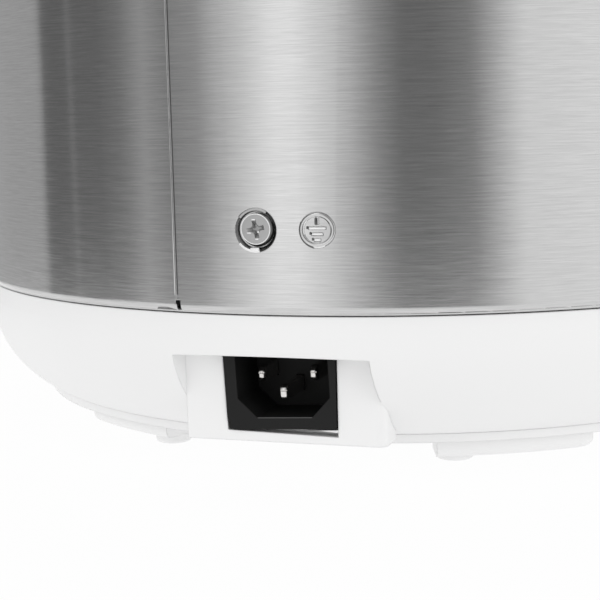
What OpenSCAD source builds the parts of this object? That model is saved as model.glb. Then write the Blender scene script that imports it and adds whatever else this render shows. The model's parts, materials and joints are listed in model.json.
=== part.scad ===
// Round multicooker with a steel band, a white bowl base, a hinged lid and a rear mains inlet.
// Millimetres, +Z up, rear at +Y, origin on the floor under the middle of the body.

/* [Body] */
// Outside diameter of the steel band
body_d = 272; // [268:1:284]
// Thickness of the steel sheet
band_t = 0.8; // [0.6:0.1:1]
// Height of the steel band
band_h = 128.3; // [122:0.1:140]
// Width of the turned-in edges of the band
band_lip = 5.5; // [4.5:0.5:6.5]
// Radius of the rolled lower and upper corner of the band
band_roll = 2.2; // [1.6:0.2:2.8]
// Place of the lap seam, in degrees from the rear middle
seam_a = 10.6; // [8:0.2:14]
// Step of the lap seam
seam_step = 0.45; // [0.3:0.05:0.6]
// Angle over which the lap seam fades out
seam_fade_a = 10; // [6:1:14]

/* [Base] */
// Step from the band in to the base
base_step = 1.2; // [0.8:0.1:2]
// Height of the base above the rear recess
brow_h = 10.3; // [9:0.1:14]
// Radius of the bowl's lower round
bowl_round = 31; // [29:0.5:34]
// Depth by which the flat bottom cuts off that round
bowl_flat = 3.3; // [2.8:0.1:6]
// Wall of the plastic mouldings
wall = 2.5; // [2:0.1:3]
// Shadow gap between band and base
band_gap = 0.2; // [0.2:0.1:0.8]
// Reach of the bowl's bottom flange inside the posts' circle
flange_reach = 10; // [8:0.5:14]
// Height of the ring that centres the band
spigot_h = 8; // [5:0.5:12]
// Width of the ring that centres the band
spigot_w = 3; // [2:0.5:4]
// Distance of the posts inside the heat well's wall
post_in = 13; // [11:0.5:15]
// Radius of a post above its shoulder
post_r = 5; // [4:0.5:6]
// Radius of a post below its shoulder
post_foot_r = 6.5; // [6.5:0.5:8]

/* [Bottom plate and feet] */
// Height of the feet below the pads
foot_h = 1.8; // [1.6:0.2:4]
// Diameter of a foot
foot_d = 10; // [8:0.5:11]
// Diameter of a foot's stud
foot_stud_d = 5; // [4:0.5:6]
// Distance of the feet inside the plate's edge
foot_in = 10.7; // [9:0.1:13]
// Angle of the feet to each side of the front and rear middle
foot_a = 22.5; // [21:0.1:26]
// Turn of the plate, as fitted
plate_turn = 1.4; // [0:0.1:3]
// Height of the arc pads below the plate
pad_h = 4.7; // [3.6:0.1:5.4]
// How much shorter the pads at the rear +X and front -X are
pad_short = 0.8; // [0:0.1:1]
// Round of the pads' lower outer edge
pad_round = 2; // [1:0.1:2.4]
// Step from the bowl's bottom edge in to the plate
plate_step = 0.7; // [0.5:0.1:3]
// Distance of the pads' middle line inside the plate's edge
pad_in = 9; // [8:0.5:11]
// Width of a pad
pad_w = 13; // [12:0.5:15]
// Angle of the pads' inner ends
pad_start_a = 19.6; // [18:0.1:21]
// Angle of the round at the pads' outer ends
pad_end_a = 38.1; // [36:0.1:38.6]
// Turn of the pads' outer ends against the plate's middle
pad_turn = 0.2; // [-0.4:0.1:0.4]
// Thickness of the plate
plate_t = 2.4; // [1.8:0.1:2.8]
// Shadow gap between plate and bowl
groove_h = 0.2; // [0.2:0.1:0.6]
// Number of cooling slots
vent_n = 7; // [5:2:9]
// Spacing of the cooling slots
vent_step = 7; // [6:0.5:8]
// Length of a cooling slot
vent_l = 34; // [24:1:40]
// Width of a cooling slot
vent_w = 2.4; // [1.8:0.2:3]

/* [Rear inlet] */
// Depth of the inlet panel behind the band's surface
panel_in = 9; // [7:0.5:10]
// Width of the flat panel beside the inlet
panel_side = 11; // [9.5:0.5:14]
// Room above the inlet under the recess ceiling
ceiling_room = 1.7; // [1:0.1:2.5]
// Drop of the recess's upper edge below that ceiling
recess_drop = 2.6; // [2.4:0.2:3.4]
// Radius of the recess's arched upper edge
recess_arch_r = 480; // [240:20:800]
// Depth of the room above the inlet, in front of the panel
pocket_d = 3; // [2:0.2:4]
// Slant of the recess wall at +X
recess_slant_l = 2.2; // [0:0.1:3]
// Slant of the recess wall at -X
recess_slant_r = 1.7; // [0:0.1:3]
// Wall beside the socket
socket_side = 2.65; // [2:0.05:3.2]
// Wall above the socket
socket_head = 1.4; // [1:0.1:2]
// Height of the inlet above the bowl's bottom
inlet_up = 2.9; // [2.9:0.1:3.3]
// How far the panel's foot reaches below the bowl
panel_drop = 0.7; // [0:0.1:1]
// How much wider the panel is at -X
panel_ear = 1.2; // [0.8:0.1:2]
// Skew of the inlet in its opening, in degrees
inlet_skew = 2.77; // [0:0.1:3]
// Depth of the inlet behind the panel face
inlet_depth = 19; // [18:0.5:22]
// How far the inlet stands proud of the panel
inlet_proud = 0.5; // [0:0.1:0.8]
// Room beside the inlet in its opening
inlet_room = 0.3; // [0.3:0.1:0.8]
// Room above and below the inlet in its opening
inlet_sill = 0.9; // [0.9:0.1:1.6]
// Slope of the opening's lower edge towards -X
inlet_gape = 0.7; // [0:0.1:0.8]
// Width of the socket
socket_w = 24.7; // [24:0.1:25]
// Height of the socket
socket_h = 16.2; // [15.5:0.1:16.4]
// Depth of the socket
socket_depth = 16; // [15:0.5:16.5]
// Shift of the socket towards -X in the inlet
socket_shift = 0.5; // [0:0.1:0.6]
// Bevel of the socket's lower corners
socket_bevel = 5; // [4:0.5:6]
// Wall under the socket
socket_sill = 3; // [2.6:0.1:3.2]
// Distance between the two live pins
pin_pitch = 14; // [13.5:0.1:14.5]
// Drop of the earth pin below them
earth_drop = 4; // [3.8:0.1:4.2]
// Width of a pin
pin_w = 2; // [1.8:0.1:2.2]
// Height of a pin
pin_h = 4; // [3.6:0.1:4.4]
// Depth of the live pins' tips behind the inlet's front
pin_tip = 5; // [3:0.5:6]
// Extra length of the earth pin
earth_ahead = 2; // [1:0.5:2.5]
// Length of the pins' tails behind the inlet
pin_tail = 9; // [7:0.5:10]
// Bevel of the pins' tips
pin_bevel = 0.6; // [0.3:0.1:0.8]
// Distance of the inlet's screws from the ends of its flange
inlet_screw_in = 2.5; // [2:0.1:3.2]

/* [Earth point] */
// Place of the earth screw to +X of the rear middle
earth_x = 2.5; // [0:0.5:5]
// Height of the earth screw above the band's edge
earth_z = 21.7; // [18:0.1:26]
// Diameter of the pressed dimple
dimple_d = 11; // [10:0.5:13]
// Diameter of the dimple's floor
dimple_floor_d = 9; // [8.6:0.1:9.8]
// Depth of the pressed dimple
dimple_depth = 1.4; // [1:0.1:1.8]
// How far the dimple's and the sign's middle lies below the screw
dimple_drop = 0.5; // [0:0.1:0.6]
// Diameter of the earth screw's head
earth_head_d = 7.8; // [7:0.1:8.4]
// Height of the earth screw's head
earth_head_h = 2.2; // [1.8:0.1:2.6]
// Diameter of the earth screw's thread
earth_screw_d = 4; // [3.5:0.5:4]
// Length of the earth screw's thread
earth_screw_l = 8; // [7:0.5:10]
// Place of the earth sign to -X of the rear middle
sign_x = 13.2; // [12:0.1:16]
// Outside diameter of the earth sign
sign_d = 8.8; // [8:0.1:10]
// Width of the sign's ring
sign_ring_w = 1.1; // [0.8:0.1:1.3]
// Width of the sign's strokes
sign_w = 0.8; // [0.5:0.1:0.9]
// Depth of the sign's strokes
sign_depth = 0.3; // [0.2:0.05:0.4]

/* [Heat well and pot] */
// Room between the band and the heat well
well_room = 15.4; // [14:0.2:18]
// Thickness of the heat well's sheet
well_t = 0.8; // [0.6:0.1:1]
// Width of the well's bottom flange
well_flange_w = 27; // [25:0.5:29]
// Height of the well's bottom above the band's edge
well_up = 9.8; // [9:0.1:12]
// Room between the heat well and the pot
pot_room = 5; // [4:0.5:7]
// Wall of the pot
pot_t = 1.6; // [1.2:0.1:2]
// Lower round of the pot
pot_round = 14; // [10:1:18]
// Width of the pot's rim
pot_rim_w = 9.4; // [8:0.2:9.6]
// Height of the heating plate's rim
heater_h = 8; // [6:0.5:9]
// Room between the heating plate and the well's flange
heater_room = 4; // [2:0.5:8]
// Room between the heating element and the legs
element_room = 5; // [1:0.5:11]
// Width of the heating element
element_w = 12; // [10:1:14]
// Drop of the heating element below the plate
element_drop = 7; // [5:0.5:8]
// Distance from the heat shield up to the heating plate
leg_h = 15; // [13:0.5:16]
// Distance of the legs inside the heating plate's edge
leg_in = 9; // [8:0.5:10]
// Radius of a leg
leg_r = 4; // [3.5:0.5:4.5]
// Thickness of the heat shield
shield_t = 0.8; // [0.6:0.1:1]
// Edge of the heat shield outside the posts' circle
shield_edge = 8; // [7.5:0.5:10]
// Room between the inlet and the heat shield
shield_room = 1.4; // [1:0.1:2]
// Running gap between pot and heating plate
pot_gap = 0.3; // [0.2:0.1:0.5]

/* [Bottom sensor] */
// Radius of the sensor cap
sensor_r = 16; // [15:0.5:17]
// Wall of the sensor cap
sensor_t = 1.5; // [1.2:0.1:1.8]
// Height of the sensor cap
sensor_h = 12; // [11:0.5:13]
// Room around the sensor cap in the heating plate
sensor_room = 2; // [1.5:0.1:2.5]
// Running gap between cap and guide
sensor_gap = 0.3; // [0.2:0.1:0.4]
// Wall of the sensor's guide
guide_t = 1.5; // [1.2:0.1:1.8]
// Height of the sensor's guide
guide_h = 15; // [14:0.5:17]
// Width of the guide's foot
guide_foot = 8; // [7:0.5:10]
// Diameter of the spring's wire
spring_wire = 1.2; // [1:0.1:1.4]
// Mean radius of the spring
spring_r = 8; // [7:0.5:9]
// Turns of the spring
spring_n = 6; // [5:1:7]

/* [Top ring] */
// Height of the top ring
ring_h = 18.5; // [18:0.5:22]
// How far the top ring stands out past the band
ring_out = 0.6; // [0.4:0.1:1]
// Round of the ring's upper outer edge
ring_round = 4; // [3:0.5:5]
// Drop of the pot's seat below the ring's top
seat_drop = 5.1; // [4.9:0.1:5.5]
// Room around the pot's rim
rim_room = 0.8; // [0.6:0.1:1]
// Overlap of the seat under the pot's rim
seat_w = 3.7; // [3.5:0.1:4.5]
// Height of the ring's skirt under the seat
skirt_h = 5.9; // [5:0.1:7]
// Width of the side handles
grip_w = 84; // [76:1:92]
// Reach of the side handles past the ring
grip_out = 29; // [27:1:33]
// Width of the bar of a side handle
grip_bar = 10; // [8:0.5:12]
// Thickness of a side handle
grip_t = 12; // [10:0.5:13]
// Finger room in a side handle
grip_gap = 13; // [12:0.5:15]
// Gap between a side handle and the ring
grip_seat = 0.15; // [0.1:0.05:0.2]

/* [Lid] */
// Gap between the ring and the lid
lid_gap = 0.4; // [0.3:0.1:0.6]
// Height of the lid's upright side
lid_side = 2.8; // [1:0.2:8]
// Round of the lid's upper edge
lid_round = 16; // [14:0.5:18]
// Radius of the lid's crown
lid_crown = 420; // [380:10:520]
// Thickness of the lid's liner
liner_t = 2; // [1.6:0.1:2.4]
// Height of the liner above the lid's edge
liner_up = 1.2; // [1:0.1:1.6]
// Thickness of the inner lid
inner_lid_t = 1; // [0.8:0.1:1.4]
// Height of the gasket's lip above the pot's rim
gasket_gap = 0.3; // [0.2:0.1:0.5]
// Distance of the gasket inside the edge of the pot's rim
gasket_edge = 2; // [1.5:0.1:2.4]
// Width of the gasket
gasket_w = 9; // [8:0.5:9.5]
// Radius of the inner lid's boss
boss_r = 12; // [10:0.5:14]
// Distance from the band's surface out to the hinge line
hinge_out = 8; // [8:0.2:9]
// Height of the hinge line above the ring's top
hinge_up = 2; // [1.6:0.1:2.4]
// Radius of the hinge's knuckles
knuckle_r = 6.5; // [6:0.1:6.6]
// Width of the lid's knuckle
knuckle_w = 52; // [44:1:54]
// Width of an ear on the ring
ear_w = 8; // [6:0.5:10]
// Side gap between knuckle and ears
ear_gap = 0.6; // [0.4:0.1:1]
// Diameter of the hinge pin
hinge_d = 5; // [4:0.5:5.5]
// Running clearance of the hinge pin, on the radius
hinge_fit = 0.05; // [0.03:0.01:0.08]
// Height of the lock above the lid's edge
lock_up = 7; // [6.5:0.1:9]
// Travel of the lid lock
lock_travel = 11; // [10:0.5:12]
// Width of the lock's foot
lock_foot_w = 8; // [7:0.5:9]
// Running clearance of the lock
lock_fit = 0.6; // [0.5:0.1:0.7]
// Width of the lock's thumb pad
lock_pad_w = 26; // [24:1:28]
// Thickness of the lock's thumb pad
lock_pad_t = 3.5; // [3:0.5:4.5]
// Thickness of the lock's foot and of its catch
lock_foot_t = 3; // [2.5:0.1:4]
// Drop of the catch below the ring's top
catch_drop = 9; // [8.5:0.1:10]
// How far the catch stands out of the ring
catch_out = 2.4; // [2:0.1:3]

/* [Steam valve] */
// Distance of the valve behind the lid's middle
valve_y = 50; // [44:1:56]
// Radius of the valve's body
valve_r = 20.7; // [18:0.1:22]
// Running clearance of the valve's body
valve_fit = 0.3; // [0.25:0.05:0.4]
// Radius of the valve's cap
valve_cap_r = 25; // [24:0.5:27]
// Height of the valve's cap
valve_cap_h = 7; // [6:0.5:9]
// Radius of the steam passage
steam_r = 8; // [6:0.5:9]
// Running clearance of the cap's spigot
cap_fit = 0.06; // [0.04:0.01:0.1]

/* [Condensate cup] */
// Width of the cup
cup_w = 65; // [56:1:70]
// Depth of the cup, front to rear
cup_d = 18; // [14:1:24]
// Height of the cup
cup_h = 32; // [26:1:38]
// Wall of the cup
cup_t = 1.8; // [1.5:0.1:2.2]
// Width of the cup's side flanges
cup_flange = 3.2; // [2.8:0.1:3.6]
// Thickness of the cup's side flanges
cup_flange_t = 2.4; // [2:0.1:3]
// Running clearance of the cup
cup_fit = 0.3; // [0.25:0.05:0.4]
// Gap between the cup and the band
cup_back = 2.5; // [2:0.5:4]
// Thickness of the cup's holder
holder_t = 4; // [3:0.5:5]

/* [Control panel] */
// Width of the control panel
fascia_w = 100; // [92:1:104]
// Distance of the panel's upper edge below the band's top
fascia_down = 6.5; // [2:0.5:9]
// Height of the panel's lower edge above the band's edge
fascia_up = 15.8; // [13:0.1:18]
// How far the panel stands out from the band
fascia_out = 19; // [17:0.5:21]
// Round of the panel's upright edges
fascia_round = 8; // [6:0.5:9]
// Width of the display window
window_w = 62; // [56:1:68]
// Height of the display window
window_h = 28; // [24:1:30]
// Distance of the window below the panel's upper edge
window_down = 9; // [6:0.5:12]
// Thickness of the display window
window_t = 1.2; // [1:0.1:1.4]
// Width of the ledge behind the window
window_ledge = 3; // [2:0.5:4]
// Side fit of the window
window_fit = 0.2; // [0.1:0.05:0.3]
// Width of a small button
key_w = 20; // [16:0.5:22]
// Height of a small button
key_h = 9; // [8:0.5:10]
// Spacing of the small buttons sideways
key_step_x = 27; // [26:0.5:28]
// Spacing of the button rows
key_step_z = 15; // [14:0.5:15.5]
// Distance of the first button row's middle below the window
key_drop = 11; // [9:0.5:13]
// Extra distance of the large buttons
big_key_drop = 3; // [2:0.5:6]
// Width of a large button
big_key_w = 34; // [30:0.5:36]
// Height of a large button
big_key_h = 12; // [10:0.5:13]
// Spacing of the large buttons
big_key_step = 44; // [42:0.5:46]
// How far a button stands out of the panel
key_proud = 1.5; // [1.2:0.1:2]
// Travel of a button
key_travel = 1; // [0.8:0.1:1]
// Running clearance of a button
key_fit = 0.35; // [0.3:0.05:0.4]
// Width of a button's inner flange
key_flange = 1.2; // [1:0.1:1.4]
// Depth of the control board behind the panel's front wall
board_depth = 8.3; // [8.2:0.1:8.6]
// Thickness of the circuit boards
board_t = 1.6; // [1.2:0.1:2]
// Height of a tact switch
switch_h = 3.5; // [3:0.1:3.6]

/* [Power board] */
// Width of the power board
power_w = 110; // [100:1:120]
// Length of the power board
power_l = 96; // [90:1:100]
// Height of the board above the bottom plate
power_up = 8; // [6:0.5:9]
// Room between the relay or the transformer and the heat shield
part_room = 3.6; // [3:0.2:6]
// Distance of these parts from the board's edges
part_in = 16; // [14:0.5:18]
// Width of the relay
relay_w = 20; // [16:0.5:24]
// Length of the relay
relay_l = 16; // [12:0.5:20]
// Width of the transformer
coil_w = 30; // [24:0.5:34]
// Length of the transformer
coil_l = 28; // [22:0.5:32]
// Radius of a board post
standoff_r = 3; // [2.5:0.5:4]
// Diameter of the leads
lead_d = 2.6; // [2:0.2:3]

/* [Screws] */
// Radius of the small screws
screw_r = 1.6; // [1.4:0.1:1.7]
// Clearance of the small screws in their bores
screw_fit = 0.1; // [0.05:0.05:0.15]
// Radius of the small screws' heads
screw_head_r = 3; // [2.8:0.1:3.2]
// Height of the small screws' heads
screw_head_h = 1.4; // [1.2:0.1:1.6]
// Length of the small screws' threads
screw_l = 9; // [8:0.5:10]

/* [Hidden] */
$fn = 96;
// A small overshoot so that cuts pass right through
over = 1;
body_r = body_d / 2;
base_r = body_r - base_step;
hole_r = screw_r + screw_fit;
z_pad = foot_h;
z_plate = z_pad + pad_h;
z_plate_top = z_plate + plate_t;
z_bowl = z_plate_top + groove_h;
z_floor = z_bowl + wall - inlet_room;
inlet_w = socket_w + 2 * socket_side;
inlet_h = socket_sill + socket_h + socket_head;
inlet_top = z_bowl + inlet_up + inlet_h;
ceiling_z = inlet_top + ceiling_room;
recess_z = ceiling_z - recess_drop;
z_rim = recess_z + brow_h;
z_band = z_rim + band_gap;
earth_mid_z = z_band + earth_z;
z_ring = z_band + band_h;
z_top = z_ring + ring_h;
z_lid = z_top + lid_gap;
lid_r = body_r;
lid_h = lid_side + lid_crown - sqrt(pow(lid_crown - lid_round, 2) - pow(lid_r - lid_round, 2));
z_crown = z_lid + lid_h;
bowl_drop = bowl_round - bowl_flat;
bowl_mid_r = base_r - bowl_round;
bowl_mid_z = z_bowl + bowl_drop;
bowl_foot_r = bowl_mid_r + sqrt(bowl_round * bowl_round - bowl_drop * bowl_drop);
plate_r = bowl_foot_r - plate_step;
pad_pitch = plate_r - pad_in;
foot_pitch = plate_r - foot_in;
lip_in = body_r - band_lip;
spigot_gap = 0.3;
spigot_out = lip_in - spigot_gap;
// Width of the ledge on which the band's lip stands
ledge_w = 1.6;
post_angles = [45, 135, 225, 315];

// Inlet
panel_y = body_r - panel_in;
panel_w = inlet_w + 2 * panel_side;
panel_round = 2 * panel_ear;
inlet_mid_z = z_bowl + inlet_up + inlet_h / 2;
inlet_front = panel_y + inlet_proud;
inlet_rear = panel_y - inlet_depth;
socket_mid_z = z_bowl + inlet_up + socket_sill + socket_h / 2;
live_z = socket_mid_z + earth_drop / 2;
earth_pin_z = socket_mid_z - earth_drop / 2;
// Flange behind the panel, which holds the inlet
inlet_flange_t = 2.5;
inlet_flange_w = panel_w - 2 * wall - 2 * over;
inlet_flange_h = 2 * screw_head_r + 2 * over;
inlet_screw_pitch = inlet_flange_w - 2 * inlet_screw_in;
// Cut of the inlet's own lower corner at +X
inlet_cut = [1.5, 3];
pin_fit = 0.05;
inlet_pilot = wall - 0.5;

// Heat well, heater and pot
z_well = z_band + well_up;
well_top = z_top - seat_drop - skirt_h;
well_r = body_r - band_t - well_room - well_t;
well_hole_r = well_r - well_flange_w;
post_pitch = well_r - post_in;
flange_in = post_pitch - flange_reach;
shield_r = post_pitch + shield_edge;
heater_r = well_hole_r - heater_room;
leg_pitch = heater_r - leg_in;
element_pitch = leg_pitch - leg_r - element_room - element_w / 2;
pot_r = well_r - pot_room;
pot_rim_r = pot_r + pot_rim_w;
z_shield = inlet_top + shield_room;
z_shield_top = z_shield + shield_t;
z_heater = z_shield_top + leg_h;
z_heater_top = z_heater + heater_h;
z_pot = z_heater_top + pot_gap;
pot_rim_t = pot_t;
rim_gap = 0.5;
seat_z = z_top - seat_drop;
z_pot_rim = seat_z + rim_gap;
z_pot_top = z_pot_rim + pot_rim_t;
seat_r = pot_rim_r + rim_room;
seat_in = seat_r - seat_w;
leg_angles = [90, 210, 330];

// Bottom sensor
sensor_top = z_heater_top;
sensor_low = sensor_top - sensor_h;
guide_out = sensor_r - sensor_t - sensor_gap;
guide_floor = z_shield_top + guide_t;
spring_low = guide_floor;
spring_high = sensor_top - sensor_t;

// Top ring and lid
ring_r = body_r + ring_out;
ledge_t = 2.5;
liner_z = z_lid + liner_up;
liner_top = liner_z + liner_t;
liner_gap = 0.3;
liner_r = lid_r - wall - liner_gap;
gasket_z = z_pot_top + gasket_gap;
gasket_out = pot_rim_r - gasket_edge;
gasket_in = gasket_out - gasket_w;
inner_lid_rise = 1.2;
inner_lid_z = gasket_z + inner_lid_rise;
inner_lid_gap = 0.1;
inner_lid_r = gasket_in - inner_lid_gap;
hinge_y = body_r + hinge_out;
hinge_z = z_top + hinge_up;
hinge_l = knuckle_w + 2 * (ear_gap + ear_w);
hinge_bore_r = hinge_d / 2 + hinge_fit;
channel_in = seat_r + wall;
channel_out = ring_r - wall;
lock_face = -(lid_r + over);
// Height of the lock's pad and of its neck
lock_pad_h = 8;
lock_neck_h = 4;
lock_neck_w = 8;
// Plate that holds the lock behind the lid's wall
lock_plate_w = 12;
lock_plate_h = 6;
lock_plate_t = 2;
lock_back = -(lid_r - wall - 3 * lock_fit);
lock_z = z_lid + lock_up;
catch_z = z_top - catch_drop;
catch_y = -(ring_r + catch_out);
lock_arm_y = catch_y - lock_fit;
lock_foot_top = catch_z - lock_fit;
lock_foot_z = lock_foot_top - lock_foot_t;

// Steam valve
valve_gasket_t = 0.8;
valve_gap = 0.1;
// Wall of the valve's seat in the lid, and of the valve itself
valve_seat_t = 2.2;
valve_floor = liner_top + wall;
valve_low = valve_floor + valve_gap + valve_gasket_t;
cap_z = crown_z(valve_y - valve_cap_r) + over;
cap_spigot_r = 10;
cap_spigot_h = 6;
cap_gap = 0.2;
cap_hole_n = 8;
cap_hole_r = 1.5;
cap_hole_pitch = 15;

// Condensate cup
holder_z = z_ring + over;
cup_top = holder_z - cup_fit;
cup_y = body_r + cup_back;
cup_rear = cup_y + cup_d;
rail_w = 3;
rail_lip_t = 2;
rail_lip_w = 2.4;
drain_r = 4;
cup_half = cup_w / 2;
rail_in = cup_half + cup_flange + cup_fit;

// Control panel
z_fascia = z_band + fascia_up;
fascia_h = band_h - fascia_up - fascia_down;
fascia_mid_z = z_fascia + fascia_h / 2;
fascia_y = -(body_r + fascia_out);
fascia_back = fascia_y + wall;
fascia_seat = 0.15;
board_y = fascia_back + board_depth;
board_margin = 6;
board_w = fascia_w - 2 * wall - 2 * board_margin;
board_h = fascia_h - 2 * wall - 2 * board_margin;
// Margin of the band's window around the board
window_margin = 2;
// Distance of the board's posts from its edges
board_post_in = 3.5;
window_z = z_fascia + fascia_h - window_down - window_h / 2;
key_row_z = window_z - window_h / 2 - key_drop;
big_key_z = key_row_z - 2 * key_step_z - big_key_drop;
key_low_gap = 0.3;
key_flange_t = 1.2;
stem_r = 2;
stem_end = board_y - switch_h - key_travel - key_low_gap;
switch_w = 6;
small_keys = [for (row = [0, 1]) for (col = [-1, 0, 1]) [col * key_step_x, key_row_z - row * key_step_z]];
big_keys = [for (side = [-1, 1]) [side * big_key_step / 2, big_key_z]];

// Power board
power_z = z_plate_top + power_up;
power_top = power_z + board_t;
power_part_h = z_shield - power_top - part_room;
// Distance of the board's posts from its corners
standoff_in = 6;
power_x = [-1, 1] * (power_w / 2 - standoff_in);
power_y = [-1, 1] * (power_l / 2 - standoff_in);
terminal_l = 12;
terminal_y = power_l / 2 - standoff_in - standoff_r - over - terminal_l;

// Height of the lid's crown at a distance from its middle
function crown_z(r) = z_crown - lid_crown + sqrt(lid_crown * lid_crown - r * r);

// Place on a circle, with the angle counted from the rear towards +X
function rear_at(r, a, z) = [r * sin(a), r * cos(a), z];

// Rounded rectangle about the origin
module round_rect(w, h, r) {
    square([w - 2 * r, h], center = true);
    square([w, h - 2 * r], center = true);
    for (x = [-1, 1])
        for (y = [-1, 1])
            translate([x * (w / 2 - r), y * (h / 2 - r)])
                dot(r);
}

// Round outline about the origin
module dot(r) {
    circle(r = r, $fn = 32);
}

// Box from one corner to the opposite one
module box(low, high) {
    translate(low)
        cube(high - low);
}

// Hollow ring
module ring(r_in, r_out, z_low, z_high) {
    difference() {
        translate([0, 0, z_low])
            cylinder(r = r_out, h = z_high - z_low);
        translate([0, 0, z_low - over])
            cylinder(r = r_in, h = z_high - z_low + 2 * over);
    }
}

// Upright cylinder at a place
module post(place, r, h) {
    translate(place)
        cylinder(r = r, h = h, $fn = 32);
}

// Outline drawn in X and Z about a place, stretched along Y from y_low to y_high
module along_y(y_low, y_high, place = [0, 0]) {
    translate([0, y_high, 0])
        rotate([90, 0, 0])
            linear_extrude(y_high - y_low)
                translate(place)
                    children();
}

// Outline drawn in Y and Z about a place, stretched along X from x_low to x_high
module along_x(x_low, x_high, place = [0, 0]) {
    translate([x_low, 0, 0])
        rotate([90, 0, 90])
            linear_extrude(x_high - x_low)
                translate(place)
                    children();
}

// Pan-head screw with its head below, pointing up
module screw_up(place, r, length, head_r, head_h) {
    post(place, r, length);
    post(place - [0, 0, head_h], head_r, head_h);
}

// Half section of the bowl, drawn in from its outside
module bowl_half(inset, z_end) {
    intersection() {
        translate([0, z_bowl + inset])
            square([body_r, z_end - z_bowl - inset]);
        union() {
            translate([bowl_mid_r, bowl_mid_z])
                circle(r = bowl_round - inset);
            translate([0, bowl_mid_z])
                square([base_r - inset, z_end - bowl_mid_z]);
            square([bowl_mid_r, z_end]);
        }
    }
}

// Space of the rear recess in front of the inlet panel
module recess_space() {
    half = panel_w / 2;
    far = body_r + 2 * over - panel_y;
    slope_l = recess_slant_l / (panel_in - base_step - panel_in / 4);
    slope_r = recess_slant_r / (panel_in - base_step - panel_in / 4);
    intersection() {
        union() {
            along_y(panel_y, panel_y + far, [0, recess_z - recess_arch_r])
                circle(r = recess_arch_r, $fn = 360);
            box([-inlet_w / 2 - 2 * over, panel_y, z_floor],
                [inlet_w / 2 + 2 * over, panel_y + pocket_d, ceiling_z]);
        }
        translate([0, panel_y, -2 * over])
            linear_extrude(z_band)
                polygon([
                    [-half, 0], [half, 0],
                    [half + slope_l * far, far], [-half + slope_r * far, far]
                ]);
    }
}

// Turns what belongs to the inlet by the skew with which it sits
module skewed() {
    translate([0, 0, inlet_mid_z])
        rotate([0, inlet_skew, 0])
            translate([0, 0, -inlet_mid_z])
                children();
}

// Plan of the panel outside the plate, with a round corner at -X
module panel_plan() {
    low_y = plate_r + over / 2;
    side_x = -panel_w / 2 - panel_ear;
    translate([side_x + panel_round, low_y])
        square([panel_w / 2 - side_x - panel_round, panel_y - low_y]);
    translate([side_x, low_y])
        square([2 * panel_round, panel_y - panel_round - low_y]);
    translate([side_x + panel_round, panel_y - panel_round])
        dot(panel_round);
}

module base_shell() {
    // Opening for the inlet: its side at +X leans with the inlet, the other is upright
    lean = tan(inlet_skew);
    hole_half = inlet_w / 2 + inlet_room;
    hole_up = inlet_h / 2 + inlet_sill;
    color("white")
        difference() {
            union() {
                difference() {
                    rotate_extrude()
                        bowl_half(0, z_rim);
                    rotate_extrude()
                        bowl_half(wall, z_rim + over);
                    post([0, 0, z_bowl - over], flange_in, 2 * wall);
                }
                ring(spigot_out - spigot_w, base_r - wall / 2, z_rim - wall, z_rim);
                ring(spigot_out - spigot_w, lip_in + ledge_w, z_rim - wall, z_band);
                ring(spigot_out - spigot_w, spigot_out, z_rim - wall, z_band + spigot_h);
                intersection() {
                    rotate_extrude()
                        bowl_half(0, z_rim);
                    box([-panel_w / 2 - 2 * wall, panel_y - 2 * wall, z_bowl],
                        [panel_w / 2 + 2 * wall, body_r, ceiling_z + wall]);
                }
                box([-panel_w / 2, shield_r + over, z_bowl],
                    [panel_w / 2, panel_y - panel_round, ceiling_z]);
                translate([0, 0, z_bowl - panel_drop])
                    linear_extrude(ceiling_z - z_bowl + panel_drop)
                        panel_plan();
                for (a = post_angles) {
                    post(rear_at(post_pitch, a, z_bowl), post_foot_r, z_shield - z_bowl);
                    post(rear_at(post_pitch, a, z_bowl), post_r, z_well - z_bowl);
                }
            }
            recess_space();
            box([-panel_w / 2 + wall, flange_in - 2 * over, z_floor],
                [panel_w / 2 - wall, panel_y - wall, ceiling_z + 2 * wall]);
            along_y(panel_y - wall - over, panel_y + over, [0, inlet_mid_z])
                polygon([
                    [hole_half + lean * hole_up, hole_up], [lean * inlet_h / 2 - hole_half, hole_up],
                    [lean * inlet_h / 2 - hole_half, -hole_up - inlet_gape],
                    [hole_half - lean * hole_up, -hole_up]
                ]);
            skewed()
                for (side = [-1, 1])
                    along_y(panel_y - wall - over, panel_y - wall + inlet_pilot)
                        translate([side * inlet_screw_pitch / 2, inlet_mid_z])
                            dot(hole_r);
            for (a = post_angles) {
                post(rear_at(post_pitch, a, z_bowl - over), hole_r, screw_l + over);
                post(rear_at(post_pitch, a, z_well - screw_l), hole_r, screw_l + over);
            }
        }
}

// Arc pad, square at its start and round at its end
// Section from one radius to another, its lower outer corner round
module soft_section(r_in, r_out, h, soft) {
    translate([r_in, 0])
        square([r_out - r_in - soft, h]);
    translate([r_in, soft])
        square([r_out - r_in, h - soft]);
    translate([r_out - soft, soft])
        dot(soft);
}

module arc_pad(a_start, a_end, z_low, z_high) {
    translate(rear_at(pad_pitch, a_end, z_low))
        rotate_extrude()
            soft_section(0, pad_w / 2 - screw_fit, z_high - z_low, pad_round);
    translate([0, 0, z_low])
        rotate([0, 0, 90 - max(a_start, a_end)])
            rotate_extrude(angle = abs(a_end - a_start))
                soft_section(pad_pitch - pad_w / 2, pad_pitch + pad_w / 2, z_high - z_low, pad_round);
}

// Angles of the feet from the rear
foot_angles = [for (base_a = [0, 180]) for (side = [-1, 1]) base_a + side * foot_a + plate_turn];

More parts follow.
